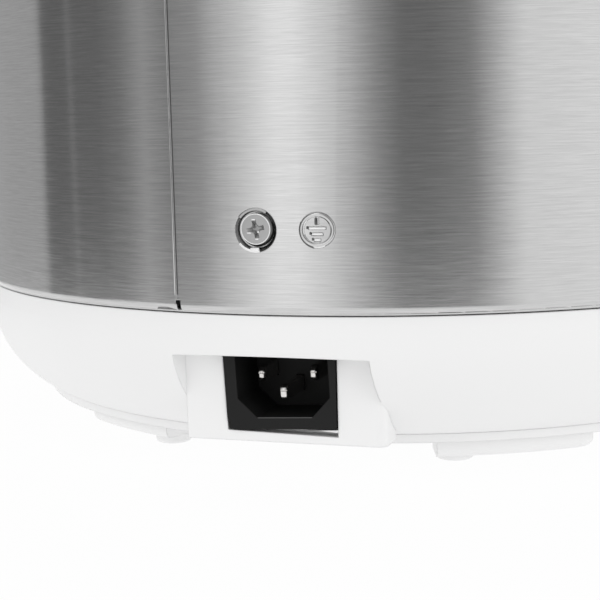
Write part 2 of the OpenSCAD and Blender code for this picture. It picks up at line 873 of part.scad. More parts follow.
module bottom_plate() {
    seat_out = plate_r - 2 * wall;
    color("white")
        difference() {
            union() {
                post([0, 0, z_plate], plate_r, plate_t);
                ring(seat_out - wall, seat_out, z_plate, z_bowl);
                for (half_a = [0, 180])
                    for (side = [-1, 1])
                        arc_pad(half_a + plate_turn + side * pad_start_a,
                                half_a + pad_turn + side * pad_end_a,
                                z_pad + (1 + side) / 2 * pad_short, z_plate + plate_t / 2);
                for (x = power_x)
                    for (y = power_y)
                        post([x, y, z_plate], standoff_r, power_z - z_plate);
            }
            for (a = foot_angles)
                post(rear_at(foot_pitch, a, z_pad - over), foot_stud_d / 2 + screw_fit, pad_h + over);
            for (a = post_angles)
                post(rear_at(post_pitch, a, z_plate - over),
                     hole_r, plate_t + groove_h + over);
            for (x = power_x)
                for (y = power_y)
                    post([x, y, z_plate + plate_t], screw_r - screw_fit, power_up + over);
            for (i = [0 : vent_n - 1])
                translate([0, (i - (vent_n - 1) / 2) * vent_step, z_plate - over])
                    linear_extrude(plate_t + 2 * over)
                        round_rect(vent_l, vent_w, vent_w / 2 - vent_w / 20);
        }
}

module feet() {
    color("whitesmoke")
        for (i = [0 : len(foot_angles) - 1]) {
            translate(rear_at(foot_pitch, foot_angles[i], 0))
                rotate_extrude()
                    soft_section(0, foot_d / 2, foot_h + i % 2 * pad_short, min(pad_round, foot_h) / 2);
            post(rear_at(foot_pitch, foot_angles[i], foot_h / 2), foot_stud_d / 2, foot_h / 2 + pad_h);
        }
}

module bottom_screws() {
    color("silver")
        for (a = post_angles)
            screw_up(rear_at(post_pitch, a, z_plate), screw_r, screw_l, screw_head_r, screw_head_h);
}

// Half section of the band, drawn in from its outside
module band_half(inset) {
    r_out = body_r - inset;
    roll = band_roll - inset;
    z_low = z_band + inset;
    z_high = z_ring - inset;
    translate([lip_in - inset, z_low])
        square([r_out - roll - lip_in + inset, z_high - z_low]);
    translate([lip_in - inset, z_low + roll])
        square([r_out - lip_in + inset, z_high - z_low - 2 * roll]);
    for (z = [z_low + roll, z_high - roll])
        translate([r_out - roll, z])
            dot(roll);
}

// Earth sign: a ring, a stem and three bars that grow shorter
module earth_sign() {
    stem_l = 2;
    stem_up = 2.3;
    bar_up = 0.5;
    bar_step = 1.5;
    bars = [4.4, 2.9, 1.7];
    difference() {
        circle(d = sign_d);
        circle(d = sign_d - 2 * sign_ring_w);
    }
    translate([0, stem_up])
        square([sign_w, stem_l], center = true);
    for (i = [0 : len(bars) - 1])
        translate([0, bar_up - bar_step * i])
            square([bars[i], sign_w], center = true);
}

// Lap of the sheet's outer end, which fades out away from its edge
module lap_seam() {
    shift = seam_step / sin(seam_fade_a);
    away = seam_a + seam_fade_a - 90;
    reach = 2 * body_r;
    difference() {
        intersection() {
            translate(rear_at(shift, away, z_band + band_roll))
                cylinder(r = body_r, h = band_h - 2 * band_roll);
            translate([0, 0, z_band])
                linear_extrude(band_h)
                    polygon([
                        [0, 0],
                        [reach * sin(seam_a), reach * cos(seam_a)],
                        [reach * sin(seam_a + seam_fade_a), reach * cos(seam_a + seam_fade_a)]
                    ]);
        }
        post([0, 0, z_band], body_r - band_t / 2, band_h);
    }
}

module steel_band() {
    dish_y = body_r - dimple_depth;
    dimple_z = earth_mid_z - dimple_drop;
    // Growth of the dimple's wall past the sheet's surface
    wall_slope = (dimple_d - dimple_floor_d) * over / dimple_depth;
    notch_h = 3.2;
    notch_w = 1.2;
    color("silver")
        difference() {
            union() {
                rotate_extrude()
                    difference() {
                        band_half(0);
                        band_half(band_t);
                    }
                lap_seam();
                intersection() {
                    along_y(dish_y - band_t, body_r, [earth_x, dimple_z])
                        circle(d = dimple_d + 2 * band_t);
                    post([0, 0, z_band], body_r, band_h);
                }
            }
            translate([earth_x, dish_y, dimple_z])
                rotate([-90, 0, 0])
                    cylinder(d1 = dimple_floor_d, d2 = dimple_d + wall_slope, h = dimple_depth + over);
            along_y(dish_y - band_t - over, body_r, [earth_x, earth_mid_z])
                circle(d = earth_screw_d + 2 * screw_fit, $fn = 32);
            intersection() {
                along_y(body_r - band_roll, body_r + over, [-sign_x, dimple_z])
                    earth_sign();
                ring(body_r - sign_depth, body_r + over, z_band, z_ring);
            }
            rotate([0, 0, -seam_a])
                box([-notch_w, lip_in, z_band - over], [0, body_r + over, z_band + notch_h]);
            box([-board_w / 2 - window_margin, -body_r - over, fascia_mid_z - board_h / 2 - window_margin],
                [board_w / 2 + window_margin, 0, fascia_mid_z + board_h / 2 + window_margin]);
        }
}

module earth_screw() {
    dish_y = body_r - dimple_depth;
    slot_w = 1.1;
    slot_l = 4.7;
    slot_depth = 1.5;
    slot_turn = 12;
    // Radius that gives the pan head its crown
    crown_r = 7;
    color("silver")
        translate([earth_x, dish_y, earth_mid_z])
            difference() {
                union() {
                    intersection() {
                        along_y(0, earth_head_h)
                            circle(d = earth_head_d);
                        translate([0, earth_head_h - crown_r, 0])
                            sphere(r = crown_r);
                    }
                    along_y(-earth_screw_l, earth_head_h / 2)
                        circle(d = earth_screw_d, $fn = 32);
                }
                rotate([0, slot_turn, 0])
                    for (turn = [0, 90])
                        along_y(earth_head_h - slot_depth, earth_head_h + over)
                            rotate(turn)
                                square([slot_l, slot_w], center = true);
            }
}

module earth_tab() {
    tab_t = 1;
    tab_w = 12;
    tab_l = 26;
    back_y = body_r - dimple_depth - band_t;
    color("goldenrod")
        difference() {
            box([earth_x - tab_w / 2, back_y - tab_t, earth_mid_z - tab_w / 2],
                [earth_x + tab_w / 2, back_y, earth_mid_z + tab_l - tab_w / 2]);
            along_y(back_y - tab_t - over, back_y + over, [earth_x, earth_mid_z])
                circle(d = earth_screw_d + 2 * screw_fit, $fn = 32);
        }
}

// Outline of the socket, with bevelled lower corners
module bevelled(w, h, bevel) {
    polygon([
        [-w / 2, h / 2], [w / 2, h / 2], [w / 2, bevel - h / 2],
        [w / 2 - bevel, -h / 2], [bevel - w / 2, -h / 2], [-w / 2, bevel - h / 2]
    ]);
}

// Places of the inlet's pins: two live ones and the earth pin
live_pins = [for (side = [-1, 1]) [side * pin_pitch / 2, live_z]];
earth_pins = [[0, earth_pin_z]];

module inlet_housing() {
    color("#202020")
        skewed()
            difference() {
                union() {
                    along_y(inlet_rear, inlet_front, [0, inlet_mid_z])
                        polygon([
                            [-inlet_w / 2, inlet_h / 2], [inlet_w / 2, inlet_h / 2],
                            [inlet_w / 2, inlet_cut.y - inlet_h / 2],
                            [inlet_w / 2 - inlet_cut.x, -inlet_h / 2],
                            [inlet_h * tan(inlet_skew) - inlet_w / 2, -inlet_h / 2]
                        ]);
                    along_y(panel_y - wall - inlet_flange_t, panel_y - wall, [0, inlet_mid_z])
                        square([inlet_flange_w, inlet_flange_h], center = true);
                }
                along_y(inlet_front - socket_depth, inlet_front + over, [-socket_shift, socket_mid_z])
                    bevelled(socket_w, socket_h, socket_bevel);
                for (place = concat(live_pins, earth_pins))
                    along_y(inlet_rear - over, inlet_front, place)
                        square([pin_w + 2 * pin_fit, pin_h + 2 * pin_fit], center = true);
                for (side = [-1, 1])
                    along_y(panel_y - wall - inlet_flange_t - over, panel_y - wall + over)
                        translate([side * inlet_screw_pitch / 2, inlet_mid_z])
                            dot(hole_r);
            }
}

// Flat pin with a bevelled tip and a tail behind the inlet
module flat_pin(place, tip_y) {
    half = pin_h / 2;
    tail_y = inlet_rear - pin_tail;
    translate([place.x, 0, place.y])
        along_x(-pin_w / 2, pin_w / 2)
            polygon([
                [tail_y, -half], [tip_y - pin_bevel, -half], [tip_y, pin_bevel - half],
                [tip_y, half - pin_bevel], [tip_y - pin_bevel, half], [tail_y, half]
            ]);
}

module inlet_pins() {
    color("silver")
        skewed()
            for (place = live_pins)
                flat_pin(place, inlet_front - pin_tip);
}

module inlet_earth_pin() {
    color("silver")
        skewed()
            flat_pin(earth_pins[0], inlet_front - pin_tip + earth_ahead);
}

module inlet_screws() {
    head_y = panel_y - wall - inlet_flange_t;
    color("silver")
        skewed()
            for (side = [-1, 1])
                translate([side * inlet_screw_pitch / 2, 0, inlet_mid_z]) {
                    along_y(head_y - screw_head_h, head_y)
                        dot(screw_head_r);
                    along_y(head_y - screw_head_h / 2, head_y + inlet_flange_t + inlet_pilot)
                        dot(screw_r);
                }
}

// Leads from the pins' tails to the terminal block
module inlet_leads() {
    color("saddlebrown")
        for (place = concat(live_pins, earth_pins))
            along_y(terminal_y + terminal_l, inlet_rear - pin_tail - screw_fit, place)
                circle(d = lead_d, $fn = 32);
}

module power_board() {
    color("darkgreen")
        difference() {
            box([-power_w / 2, -power_l / 2, power_z], [power_w / 2, power_l / 2, power_top]);
            for (x = power_x)
                for (y = power_y)
                    post([x, y, power_z - over], hole_r, board_t + 2 * over);
        }
}

module board_screws() {
    color("silver")
        for (x = power_x)
            for (y = power_y) {
                post([x, y, power_top], screw_head_r, screw_head_h);
                post([x, y, power_z - power_up / 2], screw_r - 2 * screw_fit,
                     power_up / 2 + board_t + screw_head_h / 2);
            }
}

module terminal_block() {
    block_w = pin_pitch + 2 * lead_d + 2 * wall;
    color("gainsboro")
        box([-block_w / 2, terminal_y, power_top],
            [block_w / 2, terminal_y + terminal_l, live_z + lead_d / 2 + over]);
}

module power_relay() {
    color("royalblue")
        box([part_in - power_w / 2, part_in - power_l / 2, power_top],
            [part_in + relay_w - power_w / 2, part_in + relay_l - power_l / 2, power_top + power_part_h]);
}

module power_transformer() {
    color("goldenrod")
        box([power_w / 2 - part_in - coil_w, part_in - power_l / 2, power_top],
            [power_w / 2 - part_in, part_in + coil_l - power_l / 2, power_top + power_part_h]);
}

module filter_capacitor() {
    can_r = 5;
    color("dimgray")
        along_y(-can_r, 3 * can_r, [part_in + relay_w / 2 - power_w / 2, power_top + can_r])
            circle(r = can_r);
}

module heat_shield() {
    color("lightgray")
        difference() {
            post([0, 0, z_shield], shield_r, shield_t);
            for (a = post_angles)
                post(rear_at(post_pitch, a, z_shield - over), post_r + screw_fit, shield_t + 2 * over);
            for (a = leg_angles)
                post(rear_at(leg_pitch, a, z_shield - over), hole_r, shield_t + 2 * over);
        }
}

module heater_legs() {
    color("silver")
        for (a = leg_angles)
            difference() {
                post(rear_at(leg_pitch, a, z_shield_top), leg_r, leg_h);
                post(rear_at(leg_pitch, a, z_shield_top - over), hole_r, leg_h + 2 * over);
            }
}

module heating_plate() {
    color("darkgray")
        difference() {
            union() {
                post([0, 0, z_heater], heater_r, heater_h);
                ring(element_pitch - element_w / 2, element_pitch + element_w / 2,
                     z_heater - element_drop, z_heater + heater_h / 2);
            }
            post([0, 0, z_heater - over], sensor_r + sensor_room, heater_h + 2 * over);
            for (a = leg_angles)
                post(rear_at(leg_pitch, a, z_heater - over), hole_r, heater_h / 2 + over);
        }
}

module heater_screws() {
    color("silver")
        for (a = leg_angles)
            screw_up(rear_at(leg_pitch, a, z_shield), screw_r, shield_t + leg_h + heater_h / 2,
                     screw_head_r, screw_head_h);
}

module heater_tabs() {
    tab_w = 6;
    tab_t = 0.8;
    tab_h = 5;
    color("silver")
        for (side = [-1, 1])
            box([side * 2 * tab_w - tab_w / 2, element_pitch - tab_t / 2, z_heater - element_drop - tab_h],
                [side * 2 * tab_w + tab_w / 2, element_pitch + tab_t / 2, z_heater - element_drop]);
}

module thermal_fuse() {
    fuse_r = 3;
    fuse_l = 18;
    fuse_x = (sensor_r + sensor_room + element_pitch - element_w / 2) / 2;
    color("silver")
        intersection() {
            along_y(-fuse_l / 2, fuse_l / 2, [fuse_x, z_heater - fuse_r + fuse_r / 6])
                dot(fuse_r);
            box([0, -fuse_l, z_shield_top], [body_r, fuse_l, z_heater]);
        }
}

module sensor_guide() {
    color("gainsboro") {
        ring(guide_out - guide_t, guide_out, z_shield_top, z_shield_top + guide_h);
        post([0, 0, z_shield_top], guide_out + guide_foot, guide_t);
    }
}

// Coil spring as one tube swept along a helix
module sensor_spring() {
    sides = 6;
    rings_per_turn = 16;
    rings = spring_n * rings_per_turn;
    wire_r = spring_wire / 2;
    low = spring_low + wire_r;
    rise = (spring_high - spring_low - spring_wire) / rings;
    points = [
        for (i = [0 : rings])
            for (j = [0 : sides - 1])
                let (a = 360 * i / rings_per_turn, b = 360 * j / sides, r = spring_r + wire_r * cos(b))
                    [r * cos(a), r * sin(a), low + rise * i + wire_r * sin(b)]
    ];
    skin = [
        for (i = [0 : rings - 1])
            for (j = [0 : sides - 1])
                let (a = i * sides + j, b = i * sides + (j + 1) % sides)
                    each [[a, a + sides, b], [b, a + sides, b + sides]]
    ];
    first = [for (j = [1 : sides - 2]) [0, j, j + 1]];
    last = [for (j = [1 : sides - 2]) [rings * sides, rings * sides + j + 1, rings * sides + j]];
    echo(spring_gap = rise * rings_per_turn - spring_wire);
    color("silver")
        polyhedron(points = points, faces = concat(skin, first, last));
}

module sensor_cap() {
    color("silver")
        difference() {
            post([0, 0, sensor_low], sensor_r, sensor_h);
            post([0, 0, sensor_low - over], sensor_r - sensor_t, sensor_h - sensor_t + over);
        }
}

module heat_well() {
    color("lightgray")
        difference() {
            union() {
                ring(well_r, well_r + well_t, z_well, well_top);
                ring(well_hole_r, well_r + well_t, z_well, z_well + well_t);
                ring(well_r, seat_in + 2 * wall, well_top - well_t, well_top);
            }
            for (a = post_angles)
                post(rear_at(post_pitch, a, z_well - over), hole_r, well_t + 2 * over);
        }
}

module well_screws() {
    head_z = z_well + well_t;
    color("silver")
        for (a = post_angles) {
            post(rear_at(post_pitch, a, head_z), screw_head_r, screw_head_h);
            post(rear_at(post_pitch, a, head_z - screw_l + over),
                 screw_r, screw_l + screw_head_h / 2 - over);
        }
}

// Half section of the top ring
module ring_half() {
    difference() {
        union() {
            translate([seat_in, z_ring])
                square([ring_r - ring_round - seat_in, ring_h]);
            translate([seat_in, z_ring])
                square([ring_r - seat_in, ring_h - ring_round]);
            translate([ring_r - ring_round, z_top - ring_round])
                circle(r = ring_round, $fn = 48);
        }
        translate([channel_in, z_ring - over])
            square([channel_out - channel_in, ring_h - wall + over]);
        translate([seat_in - over, seat_z])
            square([seat_w + over, seat_drop + over]);
        translate([seat_in - over, z_ring - over])
            square([channel_in - seat_in + over + over, well_top - z_ring + over]);
        translate([seat_in + wall, z_ring - over])
            square([channel_in - seat_in, seat_z - ledge_t - z_ring + over]);
    }
}

// Side of an ear, from the ring's wall out to the hinge line
module ear_side() {
    difference() {
        union() {
            translate([hinge_y, hinge_z])
                circle(r = knuckle_r, $fn = 48);
            polygon([
                [body_r - wall / 2, holder_z], [hinge_y + knuckle_r, holder_z],
                [hinge_y + knuckle_r, hinge_z],
                [hinge_y - knuckle_r, hinge_z], [body_r - wall / 2, z_top - ring_round - over]
            ]);
        }
        translate([hinge_y, hinge_z])
            dot(hinge_bore_r);
    }
}

module top_ring() {
    rail_out = rail_in + rail_w;
    rail_low = cup_top - cup_flange_t - cup_fit - rail_lip_t;
    color("white")
        difference() {
            union() {
                rotate_extrude()
                    ring_half();
                for (side = [-1, 1])
                    along_x(side * (knuckle_w + ear_w + 2 * ear_gap) / 2 - ear_w / 2,
                            side * (knuckle_w + ear_w + 2 * ear_gap) / 2 + ear_w / 2)
                        ear_side();
                difference() {
                    box([-rail_out, body_r - 2 * wall, holder_z],
                        [rail_out, cup_rear, holder_z + holder_t]);
                    post([0, 0, holder_z - over], ring_r - wall / 2, holder_t + 2 * over);
                }
                for (side = [-1, 1]) {
                    box([side * (rail_in + rail_w / 2) - rail_w / 2, cup_y, rail_low],
                        [side * (rail_in + rail_w / 2) + rail_w / 2, cup_rear, holder_z + over]);
                    box([side * (rail_in - rail_lip_w / 2) - rail_lip_w / 2, cup_y, rail_low],
                        [side * (rail_in - rail_lip_w / 2) + rail_lip_w / 2, cup_rear,
                         rail_low + rail_lip_t]);
                }
            }
            post([0, (cup_y + cup_rear) / 2, holder_z - over], drain_r, holder_t + 2 * over);
        }
}

// Block on the ring's front, under which the lock's foot slides
module lock_catch() {
    color("white")
        difference() {
            box([lock_foot_w / 2 + 2 * lock_fit, catch_y, catch_z],
                [lock_foot_w / 2 + lock_travel + over, 0, catch_z + lock_foot_t]);
            translate([0, 0, catch_z - over])
                cylinder(r = ring_r + grip_seat, h = lock_foot_t + 2 * over, $fn = 360);
        }
}

// Carrying handle on one side of the ring
module side_handle(side) {
    reach = ring_r + grip_out;
    root = ring_r / 2;
    slot_mid = reach - grip_bar - grip_gap / 2;
    handle_z = z_ring + (ring_h - ring_round - grip_t) / 2;
    color("white")
        translate([0, 0, handle_z])
            linear_extrude(grip_t)
                difference() {
                    translate([side * (reach + root) / 2, 0])
                        round_rect(reach - root, grip_w, grip_bar + grip_gap / 3);
                    translate([side * slot_mid, 0])
                        round_rect(grip_gap, grip_w - 2 * grip_bar, grip_gap / 2 - grip_gap / 20);
                    circle(r = ring_r + grip_seat);
                }
}

module side_handle_left() {
    side_handle(1);
}

module side_handle_right() {
    side_handle(-1);
}

// Half section of the pot, drawn in from its outside
module pot_half(inset, z_end) {
    round_r = pot_round - inset;
    translate([0, z_pot + pot_round])
        square([pot_r - inset, z_end - z_pot - pot_round]);
    translate([0, z_pot + inset])
        square([pot_r - pot_round, pot_round]);
    translate([pot_r - pot_round, z_pot + pot_round])
        intersection() {
            circle(r = round_r);
            translate([0, -round_r])
                square(round_r);
        }
}

module inner_pot() {
    color("#303030")
        difference() {
            union() {
                rotate_extrude()
                    pot_half(0, z_pot_top);
                post([0, 0, z_pot_rim], pot_rim_r, pot_rim_t);
            }
            rotate_extrude()
                pot_half(pot_t, z_pot_top + over);
        }
}

module hinge_pin() {
    color("silver")
        along_x(-hinge_l / 2, hinge_l / 2, [hinge_y, hinge_z])
            circle(d = hinge_d, $fn = 32);
}

// Half section of the lid, drawn in from its outside
module lid_half(inset, z_low) {
    crown_mid = z_crown - lid_crown;
    edge_r = lid_r - lid_round;
    edge_z = crown_mid + sqrt(pow(lid_crown - lid_round, 2) - edge_r * edge_r);
    // Reach of the wedge that ends the crown where the edge round starts
    spread = 2;
    intersection() {
        translate([0, z_low])
            square([body_d, lid_h + over]);
        union() {
            translate([0, z_low])
                square([edge_r, edge_z - z_low]);
            translate([0, z_low])
                square([lid_r - inset, edge_z - z_low]);
            translate([edge_r, edge_z])
                circle(r = lid_round - inset);
            intersection() {
                translate([0, crown_mid])
                    circle(r = lid_crown - inset, $fn = 360);
                polygon([
                    [0, crown_mid], [edge_r * spread, crown_mid + (edge_z - crown_mid) * spread],
                    [0, crown_mid + lid_crown * spread]
                ]);
            }
        }
    }
}

module lid_shell() {
    ledge_in = liner_r - 2 * wall;
    boss_low = z_lid + over;
    boss_high = lock_z + lock_pad_h / 2 + over;
    slot_low = lock_neck_w / 2 + lock_fit;
    plate_low = lock_plate_w / 2 + lock_fit;
    lock_over_y = lock_back + lock_plate_t + 2 * lock_fit;
    color("white")
        difference() {
            union() {
                difference() {
                    union() {
                        rotate_extrude()
                            lid_half(0, z_lid);
                        box([-lock_pad_w / 2, lock_face, boss_low],
                            [lock_pad_w / 2 + lock_travel, lock_back, boss_high]);
                    }
                    rotate_extrude()
                        lid_half(wall, z_lid - over);
                }
                ring(ledge_in, liner_r + liner_gap + wall / 2, liner_top, liner_top + wall);
                intersection() {
                    post([0, valve_y, liner_top], valve_r + valve_fit + valve_seat_t, lid_h);
                    rotate_extrude()
                        lid_half(wall / 2, z_lid);
                }
                along_x(-knuckle_w / 2, knuckle_w / 2) {
                    translate([hinge_y, hinge_z])
                        circle(r = knuckle_r, $fn = 48);
                    translate([lid_r - 2 * wall, hinge_z])
                        square([hinge_y - lid_r + 2 * wall, knuckle_r]);
                }
            }
            along_x(-knuckle_w, knuckle_w, [hinge_y, hinge_z])
                dot(hinge_bore_r);
            post([0, valve_y, valve_floor], valve_r + valve_fit, lid_h);
            post([0, valve_y, liner_top - over], steam_r, lid_h);
            post([0, 0, z_lid - over], liner_r + liner_gap / 2, liner_top - z_lid + over);
            box([-slot_low, lock_face - over, lock_z - lock_neck_h / 2 - lock_fit],
                [slot_low + lock_travel, lock_back, lock_z + lock_neck_h / 2 + lock_fit]);
            box([-plate_low, lock_back - lock_fit, liner_top - over],
                [plate_low + lock_travel, lock_over_y, lock_z + lock_plate_h / 2 + lock_fit]);
        }
}

module lid_liner() {
    color("whitesmoke")
        difference() {
            post([0, 0, liner_z], liner_r, liner_t);
            post([0, valve_y, liner_z - over], steam_r, liner_t + 2 * over);
        }
}

module inner_lid() {
    color("silver")
        difference() {
            union() {
                post([0, 0, inner_lid_z], inner_lid_r, inner_lid_t);
                post([0, 0, inner_lid_z], boss_r, liner_z - inner_lid_z);
            }
            post([0, valve_y, inner_lid_z - over], steam_r, inner_lid_t + 2 * over);
        }
}

module lid_gasket() {
    color("lightgray")
        difference() {
            ring(gasket_in, gasket_out, gasket_z, liner_z);
            ring(gasket_in + wall, gasket_out - wall, gasket_z - over, gasket_z + wall / 2);
        }
}

module lid_lock() {
    pad_back = lock_face - key_low_gap;
    arm_front = lock_arm_y - lock_foot_t;
    color("gray") {
        box([-lock_pad_w / 2, pad_back - lock_pad_t, lock_z - lock_pad_h / 2],
            [lock_pad_w / 2, pad_back, lock_z + lock_pad_h / 2]);
        box([-lock_neck_w / 2, pad_back - over, lock_z - lock_neck_h / 2],
            [lock_neck_w / 2, lock_back + lock_plate_t / 2, lock_z + lock_neck_h / 2]);
        box([-lock_plate_w / 2, lock_back, lock_z - lock_plate_h / 2],
            [lock_plate_w / 2, lock_back + lock_plate_t, lock_z + lock_plate_h / 2]);
        box([-lock_foot_w / 2, arm_front, lock_foot_z],
            [lock_foot_w / 2, lock_arm_y, lock_z + lock_pad_h / 2 - over]);
        box([-lock_foot_w / 2, arm_front, lock_foot_z],
            [lock_foot_w / 2, -ring_r - lock_fit, lock_foot_top]);
    }
}

module steam_valve() {
    color("whitesmoke")
        difference() {
            post([0, valve_y, valve_low], valve_r, cap_z - valve_low);
            post([0, valve_y, valve_low + valve_seat_t], valve_r - valve_seat_t,
                 cap_z - valve_low - 2 * valve_seat_t);
            post([0, valve_y, valve_low - over], steam_r, wall + valve_seat_t);
            post([0, valve_y, cap_z - 2 * valve_seat_t], cap_spigot_r + cap_fit, 3 * valve_seat_t);
        }
}

module steam_valve_cap() {
    cap_low = cap_z + cap_gap;
    color("white")
        difference() {
            union() {
                post([0, valve_y, cap_low], valve_cap_r, valve_cap_h);
                post([0, valve_y, cap_low - cap_spigot_h], cap_spigot_r, cap_spigot_h + over);
            }
            for (i = [0 : cap_hole_n - 1])
                translate([0, valve_y, 0])
                    post(rear_at(cap_hole_pitch, 360 * i / cap_hole_n, cap_low - over),
                         cap_hole_r, valve_cap_h + 2 * over);
            post([0, valve_y, cap_low - cap_spigot_h - over],
                 cap_spigot_r - valve_seat_t, cap_spigot_h + over);
        }
}

module steam_valve_gasket() {
    color("lightgray")
        translate([0, valve_y, 0])
            ring(steam_r + wall, valve_r - over, valve_floor + valve_gap, valve_low);
}

module condensate_cup() {
    color("white")
        difference() {
            union() {
                box([-cup_half, cup_y, cup_top - cup_h], [cup_half, cup_rear, cup_top]);
                box([-cup_half - cup_flange, cup_y, cup_top - cup_flange_t],
                    [cup_half + cup_flange, cup_rear, cup_top]);
            }
            box([-cup_half + cup_t, cup_y + cup_t, cup_top - cup_h + cup_t],
                [cup_half - cup_t, cup_rear - cup_t, cup_top + over]);
        }
}

// Outline of a button's opening or of the button itself
module key_outline(w, h, grow) {
    round_rect(w + 2 * grow, h + 2 * grow, h / 4);
}

module control_panel() {
    color("#2a2a2c")
        difference() {
            union() {
                difference() {
                    translate([0, 0, z_fascia])
                        linear_extrude(fascia_h)
                            difference() {
                                translate([0, fascia_y / 2])
                                    round_rect(fascia_w, -fascia_y, fascia_round);
                                circle(r = body_r + fascia_seat);
                            }
                    box([-fascia_w / 2 + wall, fascia_back, z_fascia + wall],
                        [fascia_w / 2 - wall, 0, z_fascia + fascia_h - wall]);
                }
                for (x = [-1, 1])
                    for (z = [-1, 1])
                        along_y(fascia_y + wall / 2, board_y)
                            translate([x * (board_w / 2 - board_post_in),
                                       fascia_mid_z + z * (board_h / 2 - board_post_in)])
                                dot(standoff_r);
            }
            along_y(fascia_y - over, fascia_y + window_t, [0, window_z])
                square([window_w, window_h], center = true);
            along_y(fascia_y - over, fascia_back + over, [0, window_z])
                square([window_w - 2 * window_ledge, window_h - 2 * window_ledge], center = true);
            for (place = small_keys)
                along_y(fascia_y - over, fascia_back + over, place)
                    key_outline(key_w, key_h, key_fit);
            for (place = big_keys)
                along_y(fascia_y - over, fascia_back + over, place)
                    key_outline(big_key_w, big_key_h, key_fit);
        }
}

module display_window() {
    color("#101014")
        along_y(fascia_y, fascia_y + window_t, [0, window_z])
            square([window_w - 2 * window_fit, window_h - 2 * window_fit], center = true);
}

module display_module() {
    module_t = board_depth - 2 * over;
    color("#303038")
        along_y(board_y - module_t, board_y, [0, window_z])
            square([window_w - 2 * window_ledge - 2 * over, window_h - 2 * window_ledge - 2 * over],
                   center = true);
}

module control_board() {
    color("darkgreen")
        along_y(board_y, board_y + board_t, [0, fascia_mid_z])
            square([board_w, board_h], center = true);
}

module tact_switches() {
    color("dimgray")
        for (place = concat(small_keys, big_keys))
            along_y(board_y - switch_h, board_y, place)
                square(switch_w, center = true);
}

// Push button: cap, inner flange and stem
module button(place, w, h) {
    flange_y = fascia_back + key_low_gap;
    color("gainsboro") {
        along_y(fascia_y - key_proud, flange_y + key_flange_t / 2, place)
            key_outline(w, h, 0);
        along_y(flange_y, flange_y + key_flange_t, place)
            key_outline(w, h, key_flange);
        along_y(flange_y + key_flange_t / 2, stem_end, place)
            dot(stem_r);
    }
}

module small_button(i) button(small_keys[i], key_w, key_h);
module menu_button() small_button(0);
module time_button() small_button(1);
module delay_button() small_button(2);
module minus_button() small_button(3);
module set_button() small_button(4);
module plus_button() small_button(5);
module cancel_button() button(big_keys[0], big_key_w, big_key_h);
module start_button() button(big_keys[1], big_key_w, big_key_h);

base_shell();
bottom_plate();
feet();
bottom_screws();
steel_band();
earth_screw();
earth_tab();
inlet_housing();
inlet_pins();
inlet_earth_pin();
inlet_screws();
inlet_leads();
power_board();
board_screws();
terminal_block();
power_relay();
power_transformer();
filter_capacitor();
heat_shield();
heater_legs();
heating_plate();
heater_screws();
heater_tabs();
thermal_fuse();
sensor_guide();
sensor_spring();
sensor_cap();
heat_well();
well_screws();
top_ring();
side_handle_left();
side_handle_right();
inner_pot();
hinge_pin();
lid_shell();
lid_liner();
inner_lid();
lid_gasket();
lid_lock();
lock_catch();
steam_valve();
steam_valve_cap();
steam_valve_gasket();
condensate_cup();
control_panel();
display_window();
display_module();
control_board();
tact_switches();
menu_button();
time_button();
delay_button();
minus_button();
set_button();
plus_button();
cancel_button();
start_button();
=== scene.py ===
# %% [markdown]
# # A round multicooker, seen low from behind
# The imported CAD model comes in first and stays where it is. Every later cell only dresses it: a finish
# on each solid, small pieces where the real one has finer forms, small pieces that are painted highlights
# and painted shade, a light tent, a floor and a camera.

# %% Load the imported model
import json
import math

import bpy
from mathutils import Matrix, Vector


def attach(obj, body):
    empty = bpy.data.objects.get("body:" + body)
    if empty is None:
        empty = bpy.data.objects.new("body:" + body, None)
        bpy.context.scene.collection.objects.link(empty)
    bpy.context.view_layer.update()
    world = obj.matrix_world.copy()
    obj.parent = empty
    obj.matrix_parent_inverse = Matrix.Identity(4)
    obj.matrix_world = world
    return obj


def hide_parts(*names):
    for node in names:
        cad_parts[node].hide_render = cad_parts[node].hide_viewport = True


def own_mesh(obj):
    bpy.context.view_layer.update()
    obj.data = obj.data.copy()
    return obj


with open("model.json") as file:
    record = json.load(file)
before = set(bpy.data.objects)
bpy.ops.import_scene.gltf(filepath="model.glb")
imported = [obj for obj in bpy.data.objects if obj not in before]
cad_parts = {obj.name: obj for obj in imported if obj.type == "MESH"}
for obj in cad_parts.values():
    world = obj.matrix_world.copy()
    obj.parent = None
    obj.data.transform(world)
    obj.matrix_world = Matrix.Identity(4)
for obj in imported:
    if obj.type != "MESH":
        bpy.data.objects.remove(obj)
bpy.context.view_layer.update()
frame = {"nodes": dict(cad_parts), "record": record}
nodes = frame["nodes"]
bpy.ops.object.select_all(action="DESELECT")

# %% [markdown]
# ## The camera
# The photograph was taken from behind and a little above the inlet, with a long lens and the camera
# tilted about one and a half degrees. A camera can be dragged until the view looks right, or its place
# and axes can be written as numbers. Numbers are used here, because they were fitted to the band's
# curved edge and to the inlet's pins.

# %% Camera
VIEW_FROM = Vector((-0.119444, 0.467004, 0.094037))
VIEW_ALONG = Vector((0.31470419, -0.93951092, -0.13520542))
VIEW_ROLL = math.radians(-1.447)
LENS, SENSOR_W, NEAREST = 87, 36, 0.01

